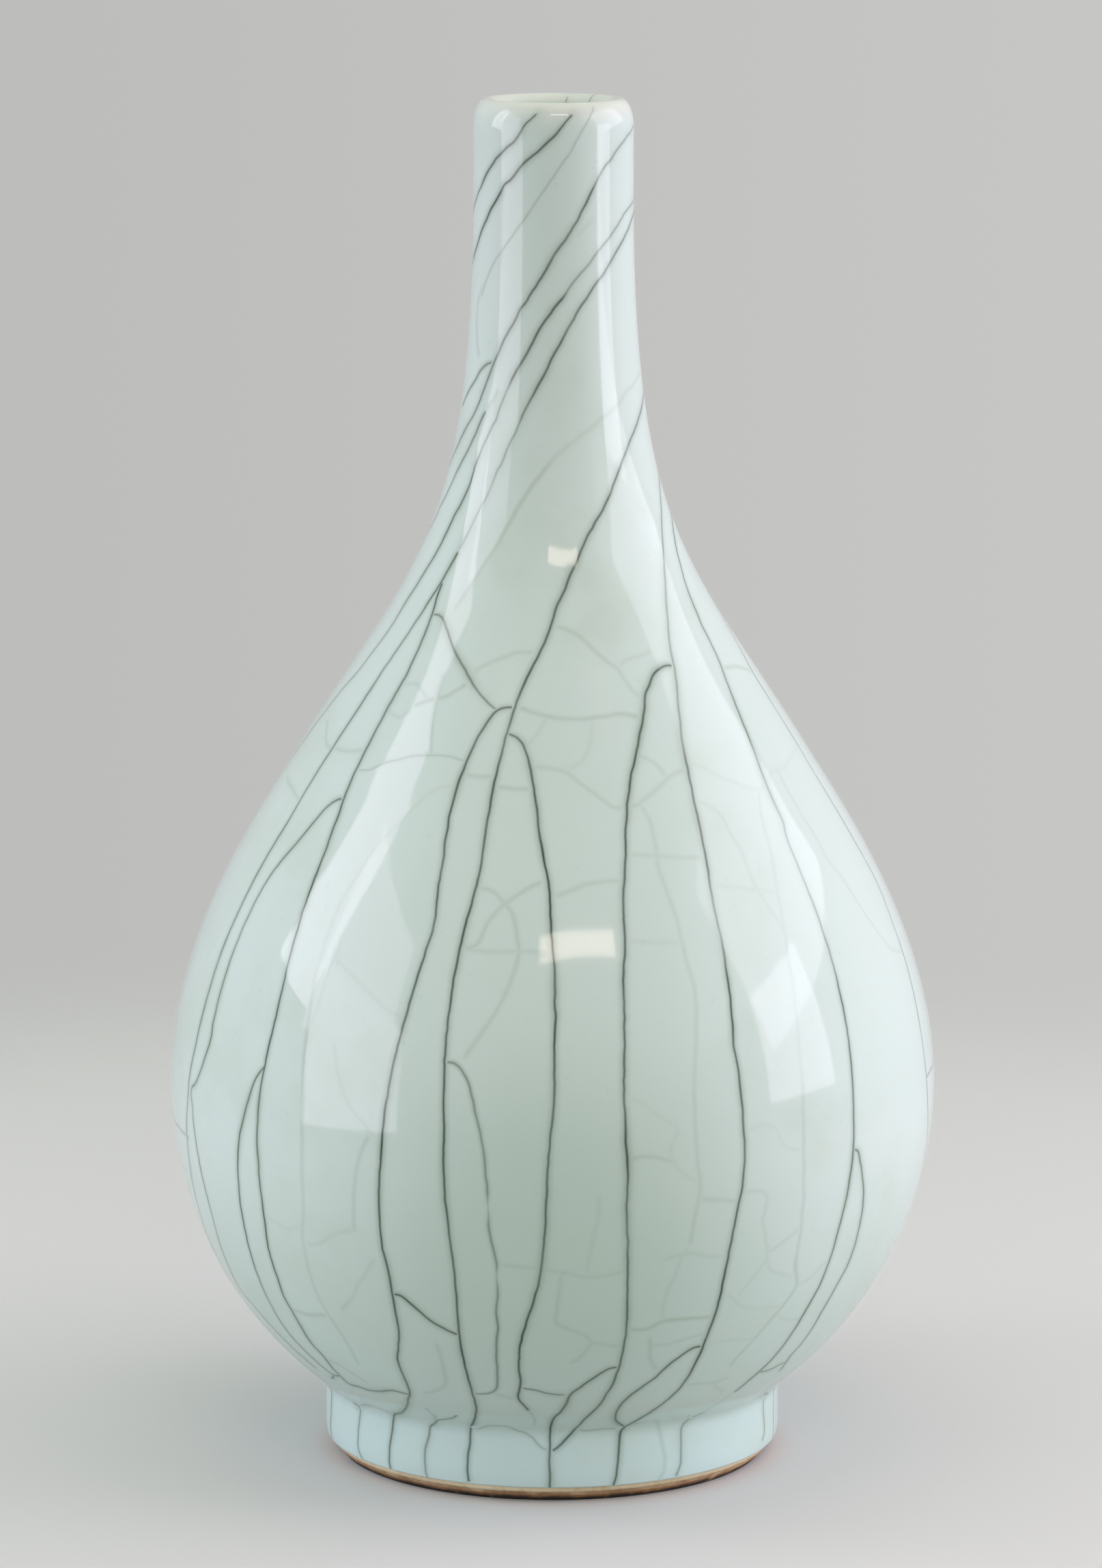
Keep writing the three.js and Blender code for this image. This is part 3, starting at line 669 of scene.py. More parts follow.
# %% Pale cracks of the belly
pale_cracks += [
    [0.6, (-21.5, 184.9), (-26, 183.6), (-28, 181.8), (-30.5, 178.6), (-33.5, 173.6), (-36, 168.6),
     (-38, 162.1), (-39.3, 157.9), (-40.3, 150), (-40.5, 140), (-40.2, 130, 1), (-39.5, 116.4, 1.1),
     (-39.1, 110), (-38.9, 100.5), (-39.1, 89, 0.9), (-39.5, 80), (-40.3, 75.2), (-40.8, 68), (-40.9, 60),
     (-40.3, 53), (-39.4, 49), (-38.7, 44), (-38.7, 39), (-38.9, 36.5)],
    [0.5, (-38, 149), (-37.5, 145.4), (-38.3, 139), (-38.6, 133), (-39.6, 126)],
    [1, (-13.6, 162.2), (-11, 161.6), (-9.5, 160.3), (-8.3, 158.6), (-7, 156.5), (-6.2, 153.5),
     (-5.7, 150), (-5.5, 148), (-6, 143.6), (-7.5, 138), (-9, 133), (-11, 128), (-13.2, 122.3)],
    [1, (-14.8, 148.3), (-12.8, 149), (-11.5, 152.9), (-10, 156.4), (-8.5, 158.4), (-6, 161),
     (-3.5, 162.9), (-1.5, 163.9)],
    [0.8, (-15, 148.2), (-10, 147.7), (-6, 148), (-2, 148), (0, 147.8)],
    [0.9, (0.2, 160.4), (3, 161.8), (6, 163.2), (9, 163.7), (12.8, 163.9)],
    [0.85, (18.8, 180.7), (19.8, 177.9), (20.3, 172.1), (20, 166.4), (20.8, 160.7), (21.5, 155.7),
     (21.8, 150.7), (22, 145), (22.8, 138.6), (22.5, 132.9), (22, 126.4), (21.1, 116.4), (21.1, 98),
     (21.6, 91.4), (21.4, 86.8), (20.9, 80), (20.7, 75)],
    [0.8, (14.1, 169.6), (20, 168.9), (25, 168), (30, 167.9)],
    [0.6, (11.9, 150.3), (15, 149.8), (19, 149.3), (22, 149)],
    [0.5, (29.3, 161.5), (33, 160.5), (36, 159.8), (39.5, 158.8), (43.4, 157.5)],
    [0.5, (-37.8, 143), (-34.5, 140.5), (-30, 136.5), (-26.5, 133), (-23, 131.2)],
    [0.5, (-47.2, 136), (-44.5, 133.5), (-41.5, 130.8), (-40.3, 129)],
    [0.6, (-34.7, 124), (-33.9, 120), (-33, 116), (-31.5, 111.3), (-29.8, 107.3), (-28, 105),
     (-26.8, 102.8), (-25.3, 102.2)],
    [1, (-27, 102.5), (-28, 99.8), (-28.9, 96), (-29.7, 89), (-30.2, 82), (-30.5, 76.5)],
    [0.8, (-30.6, 78), (-31, 77.2), (-34.5, 75), (-37.5, 72), (-40.5, 71)],
    [0.6, (-40.4, 76), (-42, 74.8), (-43.5, 74.2), (-45.3, 75), (-48.4, 76.5)],
    [1.1, (-49.4, 50), (-46, 49.8), (-43.5, 50.3), (-40.3, 51.2)],
    [0.8, (-27.5, 70.5), (-28.7, 68), (-30, 65), (-31.5, 62.3), (-32.5, 59.6), (-34.5, 56.5),
     (-36.8, 53.3)],
    [1, (-19.8, 48), (-19.7, 43), (-19.9, 38.5), (-20.5, 35), (-22, 33), (-24.5, 31.3), (-27, 30.6)],
    [0.8, (-8.2, 71.3), (-2, 70.5), (6, 68), (11.2, 69.5)],
    [0.5, (10.4, 113.5), (12.5, 112.6), (15.9, 108.2), (18.2, 105), (17.6, 102.5), (17, 100), (17.6, 97),
     (18.9, 94.3), (21.3, 91.5)],
    [0.9, (10.8, 98.5), (14, 99), (16, 98), (17.6, 97)],
    [0.7, (6.8, 90), (6.7, 85), (6.2, 80), (5.5, 74), (5, 68.5)],
    [0.9, (1.4, 69.6), (1.1, 64), (0.7, 58), (0.8, 55), (2.3, 53.7), (5.3, 51.3), (6.3, 49.3), (5.8, 46.8),
     (4.4, 44.5), (2.8, 42.8)],
    [0.9, (6.4, 49), (8.5, 48.7), (12, 47.4)],
    [0.9, (21.5, 87.2), (24.5, 86.5), (28, 85.5)],
    [0.7, (28.2, 87.6), (30.8, 87.5), (32.6, 86.5), (32.7, 82), (32.4, 79), (33.2, 76), (34, 72),
     (34.3, 71), (36.5, 72.3), (38.5, 74.2), (40, 76)],
    [0.5, (28.7, 103.4), (34, 103), (34.8, 100), (36.2, 97.5), (39.2, 96.2)],
    [0.6, (34.3, 71), (34.7, 67.5), (35.6, 65.5), (38.3, 63.5), (40.9, 62)],
    [0.6, (34.5, 69), (33.5, 66.5), (32.3, 63.5), (31.3, 61.5), (30.5, 59)],
    [0.6, (27.1, 61), (29, 59.5), (31, 57), (33, 55.5), (36, 54.6), (40.8, 54)],
    [0.8, (42.5, 59.2), (45, 60.8), (47.1, 63.8), (48.4, 64.5)],
    [0.6, (40, 52), (41.5, 50.2), (43.5, 49.2), (47, 48)],
    [0.6, (20.7, 75), (19.6, 72.8), (19.3, 70), (18.8, 67), (18, 63.5), (17.6, 60), (17.7, 57),
     (18.2, 54.5)],
    [0.7, (16.5, 71.5), (18.5, 72.5), (21, 72.9), (24, 71.8), (27.2, 71)],
    [1.2, (12, 52.8), (15.5, 52.5), (17.7, 54.2), (20.5, 54.6), (25, 54.4), (27, 54.2)],
    [1, (16, 50), (16.7, 47.7), (17, 44.5), (17.8, 42), (19.2, 39.5)],
    [0.8, (16.8, 47.6), (19.5, 47.4), (22.5, 48.3), (26.8, 49.8)],
    [0.6, (26.7, 46.2), (31, 46.3), (34.5, 45.8), (37.4, 45.3)],
    [1, (26, 33.5), (30, 33.2), (34, 33), (36.5, 33.8)],
    [0.9, (33.5, 33), (34.5, 31), (36.5, 29.7), (38.6, 28.4)],
    [1, (-12, 32.8), (-8.8, 31.6), (-6.4, 30.9)],
    [1.2, (-48.3, 35.5), (-45.5, 35.2), (-43.2, 33.3), (-40.9, 31.3), (-39.8, 30)],
    [1, (-50.7, 21.7), (-47.9, 24.2)],
    [1, (23.9, 22), (25.4, 21), (26.8, 19), (27.7, 16.3), (28.4, 13.3), (29.1, 10), (28.9, 7),
     (27.5, 4.4)],
]
print("middle and pale cracks:", len(middle_cracks), len(pale_cracks))

# %% Cracks of the back
dark_cracks += [
    [1, (208, 150), (206, 130), (205.5, 110), (206, 90), (206.5, 72), (207, 58), (208.5, 46), (211, 37),
     (215, 29), (219, 23), (221, 18), (221.5, 11), (221, 5)],
    [0.8, (257, 232), (252, 224), (246, 209), (241, 192), (238, 175), (236, 155), (235, 130), (235.5, 110),
     (236, 90), (235, 70), (233, 50), (230, 36), (226, 28), (221, 22.5)],
    [0.85, (264, 150), (262, 128), (261, 104), (261, 82), (262, 62), (264, 45), (268, 33), (272, 25),
     (274.5, 19), (275, 12), (274, 5)],
    [1, (150, 259), (141, 252), (133, 240), (128, 226), (125, 210), (123, 192), (121.5, 172), (121, 150),
     (120, 128), (119.5, 106), (120, 84), (119, 62), (117, 46), (113.5, 34), (108, 26), (105, 20),
     (104.5, 12), (105, 5)],
    [0.8, (121.8, 176), (118, 174.5), (113.5, 168), (109, 156), (106, 140), (104, 120), (103.5, 100),
     (102.5, 80), (101.5, 60), (100, 44), (96, 32), (91, 24), (89, 17), (89.5, 5)],
    [0.9, (200, 264.8), (185, 259), (172, 249), (163, 236), (157, 220), (153, 203), (150.5, 185),
     (149, 165), (148, 142), (147.5, 120), (147.5, 98), (148.5, 76), (148.5, 56), (147, 42),
     (144, 32), (139.5, 25), (137.5, 18), (138, 11), (137, 5)],
    [0.8, (150.4, 183), (154, 181.5), (158.5, 176), (163, 166), (166, 152), (168, 134), (169, 112),
     (169, 90), (170, 68), (171.5, 50), (173, 38), (170.5, 28), (166, 22), (164.5, 16), (165, 5)],
    [1, (226, 217.5), (217, 215), (208, 209), (200, 199), (194, 186), (190, 170), (187.5, 150), (186, 128),
     (185.5, 105), (186.5, 82), (188, 62), (190, 46), (193, 35), (197, 27), (199, 20), (198.5, 12),
     (199, 5)],
    [0.7, (205.6, 116), (209, 113), (213, 104), (216, 90), (217, 72), (216, 54), (214, 42), (210, 38)],
    [0.8, (235.4, 122), (239, 119), (243.5, 110), (247, 96), (249, 78), (249.5, 60), (248, 44), (244, 33),
     (240, 25), (238.5, 18), (239, 11), (238.5, 5)],
    [0.7, (148.3, 62), (151, 61), (155, 57), (159, 52), (164, 48.5), (171.5, 47.5)],
    [0.8, (119.7, 92), (124, 90), (128.5, 82), (131, 68), (131.5, 52), (130, 38), (126, 29), (121, 23.5),
     (119.5, 16), (120, 5)],
    [0.6, (181, 17.5), (180, 12), (180.5, 5)],
    [0.6, (255, 18), (256, 12), (255.5, 5)],
]
middle_cracks += [
    [0.8, (125, 210), (130, 212), (137, 212.5), (145, 210), (153.5, 206)],
    [0.8, (187, 142), (181, 140), (175, 137), (168, 135)],
    [0.8, (166, 152), (172, 155), (180, 156), (187.6, 152)],
    [0.8, (206, 134), (213, 136), (224, 134), (235.2, 130)],
    [0.8, (103.6, 104), (98, 106), (91, 106.5), (84, 104), (75.3, 103)],
    [0.8, (261, 96), (268, 92), (277, 90), (290.5, 89)],
    [0.8, (235, 200), (228, 196), (219, 193), (206, 194), (196, 191)],
]
pale_cracks += [
    [0.8, (134, 242), (133, 225), (136, 205), (139, 180), (138, 155), (135, 132), (136, 110), (134, 88)],
    [0.8, (160, 120), (159, 100), (161, 82), (158, 66)],
    [0.8, (178, 118), (177, 100), (179, 84), (176, 70), (178, 56)],
    [0.8, (110, 96), (112, 84), (110, 70), (112, 56)],
    [0.8, (224, 150), (226, 132), (224, 114), (225, 98)],
    [0.8, (196, 96), (198, 80), (196, 66), (199, 52)],
    [0.8, (274, 140), (276, 122), (273, 104)],
    [0.8, (225, 80), (228, 66), (225, 52)],
    [0.8, (92, 150), (94, 130), (91, 112)],
    [0.8, (148, 133), (142, 130), (135, 132)],
    [0.8, (169, 100), (164, 98), (160, 99)],
    [0.8, (120, 110), (115, 108), (108, 109), (103.6, 108)],
]

# %% [markdown]
# ### From a drawing to lines in space
# A point of a crack is put on the outline at its height and turned to its angle. Past the ridge of the
# lip the height is folded back, so that a crack can run over the lip and down inside the mouth. A long
# step gets more points, or its line would cut through the vase. The lines become smooth curves.

# %% Place the cracks on the outline
down_the_mouth = lip_inside[::-1]
most_turn = 6
most_rise = 2.5


def on_skin(angle, height):
    """The place on the glaze at an angle in degrees and a height in millimetres."""
    run = up_to_ridge
    if height > ridge_height:
        height = 2 * ridge_height - height
        run = down_the_mouth
    radius = np.interp(height, run[:, 1], run[:, 0])
    turned = math.radians(angle)
    return Vector((radius * math.sin(turned), -radius * math.cos(turned), height)) * MM


def finely(crack):
    """The crack as angles, heights and shares, with more of them far round the vase and at the foot."""
    ink_share, first, *others = crack
    fine = [(*first, ink_share)]
    for angle, height, *changed in others:
        ink_share = changed[0] if changed else ink_share
        parts = max(1, math.ceil(abs(angle - fine[-1][0]) / most_turn))
        if min(height, fine[-1][1]) < corner_top:
            parts = max(parts, math.ceil(abs(height - fine[-1][1]) / most_rise))
        fine.extend(np.linspace(fine[-1], (angle, height, ink_share), parts + 1)[1:])
    return fine


def crack_curves(name, cracks):
    """A curve object with one smooth spline for each crack. The radius carries its share of ink."""
    drawing = bpy.data.curves.new(name, "CURVE")
    drawing.dimensions = "3D"
    drawing.resolution_u = 8
    for crack in cracks:
        places = finely(crack)
        spline = drawing.splines.new("BEZIER")
        spline.bezier_points.add(len(places) - 1)
        for knot, (angle, height, ink_share) in zip(spline.bezier_points, places):
            knot.co = on_skin(angle, height)
            knot.radius = ink_share
            knot.handle_left_type = "AUTO"
            knot.handle_right_type = "AUTO"
    return bpy.data.objects.new(name, drawing)


drawings = {
    "dark_ink": crack_curves("dark drawing", dark_cracks),
    "thin_ink": crack_curves("thin drawing", middle_cracks),
    "pale_ink": crack_curves("pale drawing", pale_cracks),
}
for name, drawing in drawings.items():
    print(name, "points:", sum(len(spline.bezier_points) for spline in drawing.data.splines))

# %% [markdown]
# ### Ink in the cracks
# The ink sits in the crack and bleeds into the glaze on both sides, so a crack is a fine dark core in
# a soft pale halo. A flat line can't show that. Each crack is a thin lens of glaze instead, as wide as
# its halo and a few hundredths of a millimetre proud, and its material fades from ink in the middle to
# plain glaze at the rim. Where two cracks meet, the nearer core is the higher one and covers the other
# one's halo. The tree cuts each curve into short steps, sweeps the cross-section along them, and drops
# every point of the sweep on the glaze.

# %% Cross-section of a crack
section_places = [(0, 1), (0.35, 0.74), (0.7, 0.48), (1, 0.26), (0, -1), (-1, 0.26), (-0.7, 0.48),
                  (-0.35, 0.74)]


def section_curve():
    """A closed outline: how far across the crack, and how high, both as shares."""
    outline = bpy.data.curves.new("crack section", "CURVE")
    outline.dimensions = "3D"
    ring = outline.splines.new("POLY")
    ring.points.add(len(section_places) - 1)
    for corner, (across, rise) in zip(ring.points, section_places):
        corner.co = (rise, across, 0, 1)
    ring.use_cyclic_u = True
    return bpy.data.objects.new("crack section", outline)


crack_section = section_curve()
scene_objects.link(crack_section)
print("corners of the section:", len(section_places))

# %% [markdown]
# The tree has three jobs. The first lays the steps of the curve on the glaze, a little out of line as
# a real crack is. The second works out how much ink there is at each step: less at both ends, though
# not at the foot, where cracks run right to the edge of the glaze, and more or less from place to place.
# The third sweeps the lens and puts it on the glaze.

# %% Tree that lays ink along the cracks
inking, given = geometry_tree("ink in the cracks", {
    "Skin": "Object", "Section": "Object", "Cracks": "Object", "Step": "Float", "Reach": "Float",
    "Lift": "Float", "Fade": "Float", "Tremor": "Float", "Seed": "Float", "Finish": "Material"})
tremor_scale = 210

steps = inking.node("GeometryNodeResampleCurve", {"mode": "LENGTH"}, {
    "Curve": given["Geometry"], "Length": given["Step"]})
tremor = inking.noise(inking.here(), tremor_scale, output="Color")
tremor = inking.scaled(inking.vector("SUBTRACT", tremor, (0.5, 0.5, 0.5)), given["Tremor"])
steps = inking.moved(steps, Offset=tremor)
skin = inking.shape_of(given["Skin"])
lowered = inking.nearest("FACES", skin, "Position")
facing = inking.node("GeometryNodeSampleNearestSurface", {"data_type": "FLOAT_VECTOR"}, {
    "Mesh": skin, "Value": inking.node("GeometryNodeInputNormal")})
steps = inking.moved(steps, Position=lowered)
steps = inking.node("GeometryNodeSetCurveNormal", {"mode": "FREE"}, {"Curve": steps, "Normal": facing})
print("nodes so far:", len(inking.nodes.nodes))

# %% How much ink there is at each step
foot_ink = (6, 9)
lip_ink = (342, 347)
lip_narrowing = 0.4
uneven_scale = 45
waver_scale = 160

done = inking.node("GeometryNodeSplineParameter", None, None, "Length")
whole = inking.node("GeometryNodeSplineLength", None, None, "Length")
altitude = inking.split(inking.here(), "Z")
near_end = (done.low(whole - done) / given["Fade"]).smooth(0, 1)
fade = near_end.high(1 - altitude.smooth(foot_ink[0] * MM, foot_ink[1] * MM))
drift = inking.vector("ADD", inking.here(), inking.joined(X=given["Seed"]))
uneven = 0.5 + inking.noise(drift, uneven_scale, 3)
waver = 0.8 + 0.4 * inking.noise(drift, waver_scale)
narrow = 1 - lip_narrowing * altitude.smooth(lip_ink[0] * MM, lip_ink[1] * MM)
ink_share = inking.node("GeometryNodeInputRadius")
steps = inking.store(steps, "ink_strength", fade * uneven * ink_share)
steps = inking.store(steps, "ink_spread", fade * uneven * ink_share ** 2)
steps = inking.store(steps, "ink_fade", fade)
steps = inking.node("GeometryNodeSetCurveRadius", None, {"Curve": steps, "Radius": 1.0})
print("nodes so far:", len(inking.nodes.nodes))

# %% Sweep the lens and put it on the glaze
lens_depth = 0.03
end_lift = 0.35
rim_angle = 0.6

section = inking.shape_of(given["Section"])
corner = inking.split(inking.here())
section = inking.store(section, "ink_rise", corner.of("X"))
section = inking.store(section, "ink_distance", corner.of("Y").size() * given["Reach"])
flattened = inking.joined(X=corner.of("X") * lens_depth, Y=corner.of("Y"))
section = inking.moved(section, Position=flattened)
lenses = inking.node("GeometryNodeCurveToMesh", None, {
    "Curve": steps, "Profile Curve": section, "Scale": given["Reach"] * waver * narrow,
    "Fill Caps": True})

rise = inking.stored("ink_rise") * (end_lift + (1 - end_lift) * inking.stored("ink_fade"))
raised = inking.scaled(facing, rise * given["Lift"])
lenses = inking.moved(lenses, Position=inking.vector("ADD", lowered, raised))
crack_distance = inking.nearest("EDGES", inking.shape_of(given["Cracks"]), "Distance")
lenses = inking.store(lenses, "crack_distance", crack_distance)
lenses = inking.node("GeometryNodeSetShadeSmooth", None, {"Geometry": lenses})
sharp = inking.node("FunctionNodeCompare", {"operation": "GREATER_THAN"}, {
    0: inking.node("GeometryNodeInputMeshEdgeAngle"), 1: rim_angle})
lenses = inking.node("GeometryNodeSetShadeSmooth", {"domain": "EDGE"}, {
    "Geometry": lenses, "Selection": sharp, "Shade Smooth": False})
end_tree(inking, lenses, given["Finish"])
print("nodes that lay ink:", len(inking.nodes.nodes))

# %% [markdown]
# ## Finishes
# The glaze is a glossy layer over a soft colour that changes with its thickness: thin and warm on the
# lip. The lower front is painted darker and greener, as painted shade where the side lamps light it
# least. The foot wall is bluish, partly from the glaze and partly a painted reflection of the floor, and
# the crease above it is darker, partly pooled glaze and partly painted shade. Ink that spread beside
# the cracks stains it. Every pattern is on object coordinates, in metres.

# %% Material helpers


def material(name):
    """A new material, its tree and its main shader."""
    made = bpy.data.materials.new(name)
    made.use_nodes = True
    tree = Tree(made.node_tree)
    return made, tree, made.node_tree.nodes["Principled BSDF"]


def bump(tree, height, distance):
    """A normal that follows a height field. The distance is in metres."""
    return tree.node("ShaderNodeBump", None, {"Height": height, "Distance": distance})


def object_place(tree):
    """The place on the object, in metres."""
    return tree.node("ShaderNodeTexCoord", None, None, "Object")


def kept(tree, name):
    """A number that a geometry tree left on the points."""
    return tree.node("ShaderNodeAttribute", {"attribute_name": name}, None, "Fac")


# %% Celadon glaze
zones = [
    (25, 100, paint(202, 215, 210)),
    (190, 290, paint(205, 217, 211)),
    (344, 350, paint(217, 220, 213)),
]
# The foot wall's blue is partly the glaze and partly a painted reflection of the pale floor. The crease
# colour is partly pooled glaze and partly painted shade, and the lower belly darkens towards it.
wall_blue_and_reflection, crease_pool_and_shade = paint(194, 213, 212), paint(188, 206, 199)
# Painted shade: a darker, greener lobe on the lower front, where the side lamps light the glaze least.
front_shade_place, front_shade_green = (0, -0.095, 0.068), paint(168, 188, 176)
patch_green, speckle_grey = paint(182, 195, 178), paint(150, 168, 160)
stain_reach, stain_green = 3.6, paint(138, 156, 138)
glaze_ior = 1.52


def glaze_colour(tree, stained):
    """The colour of the glaze. A stained one reads its distance from the nearest dark crack."""
    where = object_place(tree)
    height = tree.split(where, "Z")
    cloud = tree.noise(where, 9, 3) - 0.5
    low_on_wall = height + cloud * (5 * MM)
    height = height + cloud * (16 * MM)

    # The foot wall takes a painted reflection of the floor, and the crease and lower belly take painted
    # shade.
    colour = tree.mix(low_on_wall.smooth(17 * MM, 21.5 * MM), wall_blue_and_reflection, crease_pool_and_shade)
    for bottom, top, zone in zones:
        colour = tree.mix(height.smooth(bottom * MM, top * MM), colour, zone)
    # Painted shade: the lower front darkens and greens towards this place.
    front_shade_distance = tree.vector("DISTANCE", where, front_shade_place, output="Value")
    colour = tree.mix(0.55 * (1 - front_shade_distance.smooth(20 * MM, 72 * MM)), colour, front_shade_green)
    green = tree.noise(where, 22, 4, 0.6).smooth(0.5, 0.72)
    colour = tree.mix(green * 0.3, colour, patch_green)
    speckle = tree.noise(where, 420, 3, 0.7).smooth(0.62, 0.75)
    colour = tree.mix(speckle * 0.12, colour, speckle_grey)
    if stained:
        patches = tree.noise(where, 34).smooth(0.42, 0.7)
        near = 1 - (kept(tree, "crack_distance") / (stain_reach * MM)).low(1)
        colour = tree.mix(near ** 2 * (0.08 + 0.3 * patches), colour, stain_green)
    return where, colour


def glaze_gloss(tree, shader, where):
    """The gloss of the glaze and its faint unevenness."""
    tree.put(shader.inputs["Roughness"], 0.045 + tree.noise(where, 30) * 0.035)
    shader.inputs["IOR"].default_value = glaze_ior
    peel = tree.noise(where, 55, 2, 0.4) + tree.noise(where, 260) * 0.12
    tree.put(shader.inputs["Normal"], bump(tree, peel, 0.05 * MM))


def celadon(name, stained):
    """A glaze without a crack in it."""
    made, tree, shader = material(name)
    where, colour = glaze_colour(tree, stained)
    tree.put(shader.inputs["Base Color"], colour)
    glaze_gloss(tree, shader, where)
    return made


outer_finish = celadon("celadon glaze", stained=True)
inner_finish = celadon("celadon glaze inside", stained=False)
print("glazes:", outer_finish.name, "and", inner_finish.name)

# %% [markdown]
# The ink shares the colour and the gloss of the glaze and lies under the same surface. It is mixed in by
# its distance from the middle of the crack, which the tree kept on the lens: a bell curve for the core,
# and a wider and fainter one for the halo.

# %% Ink in the glaze


def ink(name, core, core_reach, halo, halo_reach, core_colour, halo_colour):
    """Glaze with a crack in it. The shares are how strong core and halo are, the reaches in mm."""
    made, tree, shader = material(name)
    where, colour = glaze_colour(tree, stained=True)
    distance = kept(tree, "ink_distance")
    hill = 1 - (distance / (halo_reach * MM)).low(1) ** 2
    colour = tree.mix(halo * kept(tree, "ink_spread") * hill ** 2, colour, halo_colour)
    bell = (0 - (distance / (core_reach * MM)) ** 2).exponent()
    colour = tree.mix(core * kept(tree, "ink_strength") * bell, colour, core_colour)
    tree.put(shader.inputs["Base Color"], colour)
    glaze_gloss(tree, shader, where)
    return made


dark_reach, middle_reach, pale_reach = 1.9, 1.4, 1.3
dark_ink = ink(
    "dark ink", core=0.84, core_reach=0.33, halo=0.21, halo_reach=dark_reach,
    core_colour=paint(40, 62, 44), halo_colour=paint(52, 70, 46))
middle_ink = ink(
    "thin ink", core=0.48, core_reach=0.3, halo=0.21, halo_reach=middle_reach,
    core_colour=paint(44, 62, 44), halo_colour=paint(66, 84, 54))
pale_ink = ink(
    "pale ink", core=0.06, core_reach=0.4, halo=0.11, halo_reach=pale_reach,
    core_colour=paint(80, 104, 60), halo_colour=paint(92, 116, 72))
print("nodes in the dark ink:", len(dark_ink.node_tree.nodes))

# %% [markdown]
# The foot ring is bare buff stoneware, and its rim was dressed with iron wash, which fired brown. The
# wash ends in a ragged line just under the glaze. Its bottom, up to about two millimetres, is painted nearly
# black, a painted contact shadow where the rim meets the floor.

# %% Clay finishes


def clay_colour(tree, where, light, dark, grain):
    """Fired clay with grog and a slow change of colour. Gives the colour and the grog."""
    slow = tree.noise(where, 40, 3).smooth(0.3, 0.7)
    grog = tree.noise(where, grain, 3, 0.65).smooth(0.45, 0.7)
    return tree.mix(slow * 0.6 + grog * 0.4, light, dark), grog


def clay(name, light, dark, grain, depth):
    """Bare fired clay. The grain is in grains per metre, the depth of its pits in millimetres."""
    made, tree, shader = material(name)
    where = object_place(tree)
    colour, grog = clay_colour(tree, where, light, dark, grain)
    tree.put(shader.inputs["Base Color"], colour)
    tree.put(shader.inputs["Roughness"], 0.72 + grog * 0.2)
    pits = tree.noise(where, grain * 1.5, 3, 0.7)
    tree.put(shader.inputs["Normal"], bump(tree, pits, depth * MM))
    return made


body_grain = 600
bare_clay = clay(
    "bare stoneware", paint(216, 203, 180), paint(186, 166, 138), grain=body_grain, depth=0.12)
slip_clay = clay("fired slip", paint(201, 185, 162), paint(178, 158, 134), grain=900, depth=0.06)
print("hidden clays:", bare_clay.name, "and", slip_clay.name)

# %% Clay with iron wash
ring_buff, ring_tan = paint(228, 210, 178), paint(196, 166, 125)
black_contact_shadow, wash_brown, wash_worn = paint(34, 22, 14), paint(146, 104, 66), paint(200, 168, 124)
ragged_by = 2.4
contact_shadow_edge = (0.6, 2.1)
wash_edge = (1.9, 3.1)


def dressed_clay(name):
    """Brown wash on the clay, ragged at its upper edge, with a painted contact shadow in black below."""
    made, tree, shader = material(name)
    where = object_place(tree)
    height = tree.split(where, "Z")
    bare, _ = clay_colour(tree, where, ring_buff, ring_tan, body_grain)
    ragged = height + (tree.noise(where, 130, 4, 0.65) - 0.5) * (ragged_by * MM)
    # Painted contact shadow: the wash goes nearly black at the bottom of the rim, where it meets the floor.
    wash = tree.mix(ragged.smooth(contact_shadow_edge[0] * MM, contact_shadow_edge[1] * MM), black_contact_shadow, wash_brown)
    worn = tree.noise(where, 90, 4, 0.7).smooth(0.56, 0.72)
    wash = tree.mix(worn * 0.5, wash, wash_worn)
    above = ragged.smooth(wash_edge[0] * MM, wash_edge[1] * MM)
    tree.put(shader.inputs["Base Color"], tree.mix(above, wash, bare))
    tree.put(shader.inputs["Roughness"], 0.62 + worn * 0.2)
    lumps = tree.noise(where, 500, 4, 0.6)
    tree.put(shader.inputs["Normal"], bump(tree, lumps, 0.15 * MM))
    return made


brown_wash_and_contact_shadow = dressed_clay("iron wash")
ring_clay = dressed_clay("dressed stoneware")
print("clays of the foot:", brown_wash_and_contact_shadow.name, "and", ring_clay.name)

# %% [markdown]
# ## The skins
# The outer glaze is made first, because the ink lies on it. Its carrier is a mesh of loose points, the
# stations of the outline. The dark cracks are there before it, as a chain of edges, so that it can
# measure its distance from them.

# %% The dark cracks as edges


def spine(drawing):
    """The drawing as a chain of edges, to measure distances from."""
    scene_objects.link(drawing)
    ready = drawing.evaluated_get(bpy.context.evaluated_depsgraph_get())
    mesh = bpy.data.meshes.new_from_object(ready)
    scene_objects.unlink(drawing)
    return bpy.data.objects.new(drawing.name + " spine", mesh)


dark_spine = spine(drawings["dark_ink"])
scene_objects.link(dark_spine)
print("points along the dark cracks:", len(dark_spine.data.vertices))

# %% Turn the outer glaze
swell_size = 0.09
swell_seed = 4.0
outer_swell = 0.12
outer_turns = 300


def station_mesh(name, run):
    """Loose points at the stations of an outline, in the plane of radius and height."""
    mesh = bpy.data.meshes.new(name)
    points = [(radius * MM, 0, height * MM) for radius, height in run]
    mesh.from_pydata(points, [], [])
    return bpy.data.objects.new(name, mesh)


def turn_skin(name, run, turns, finish, swell=0.0, cracks=None):
    """A shell turned from a closed outline."""
    values = {"Turns": turns, "Swell": swell * MM, "Swell size": swell_size, "Seed": swell_seed,
              "Finish": finish}
    if cracks:
        values["Cracks"] = cracks
    return grow(name, station_mesh(name + " stations", run), turning, values)


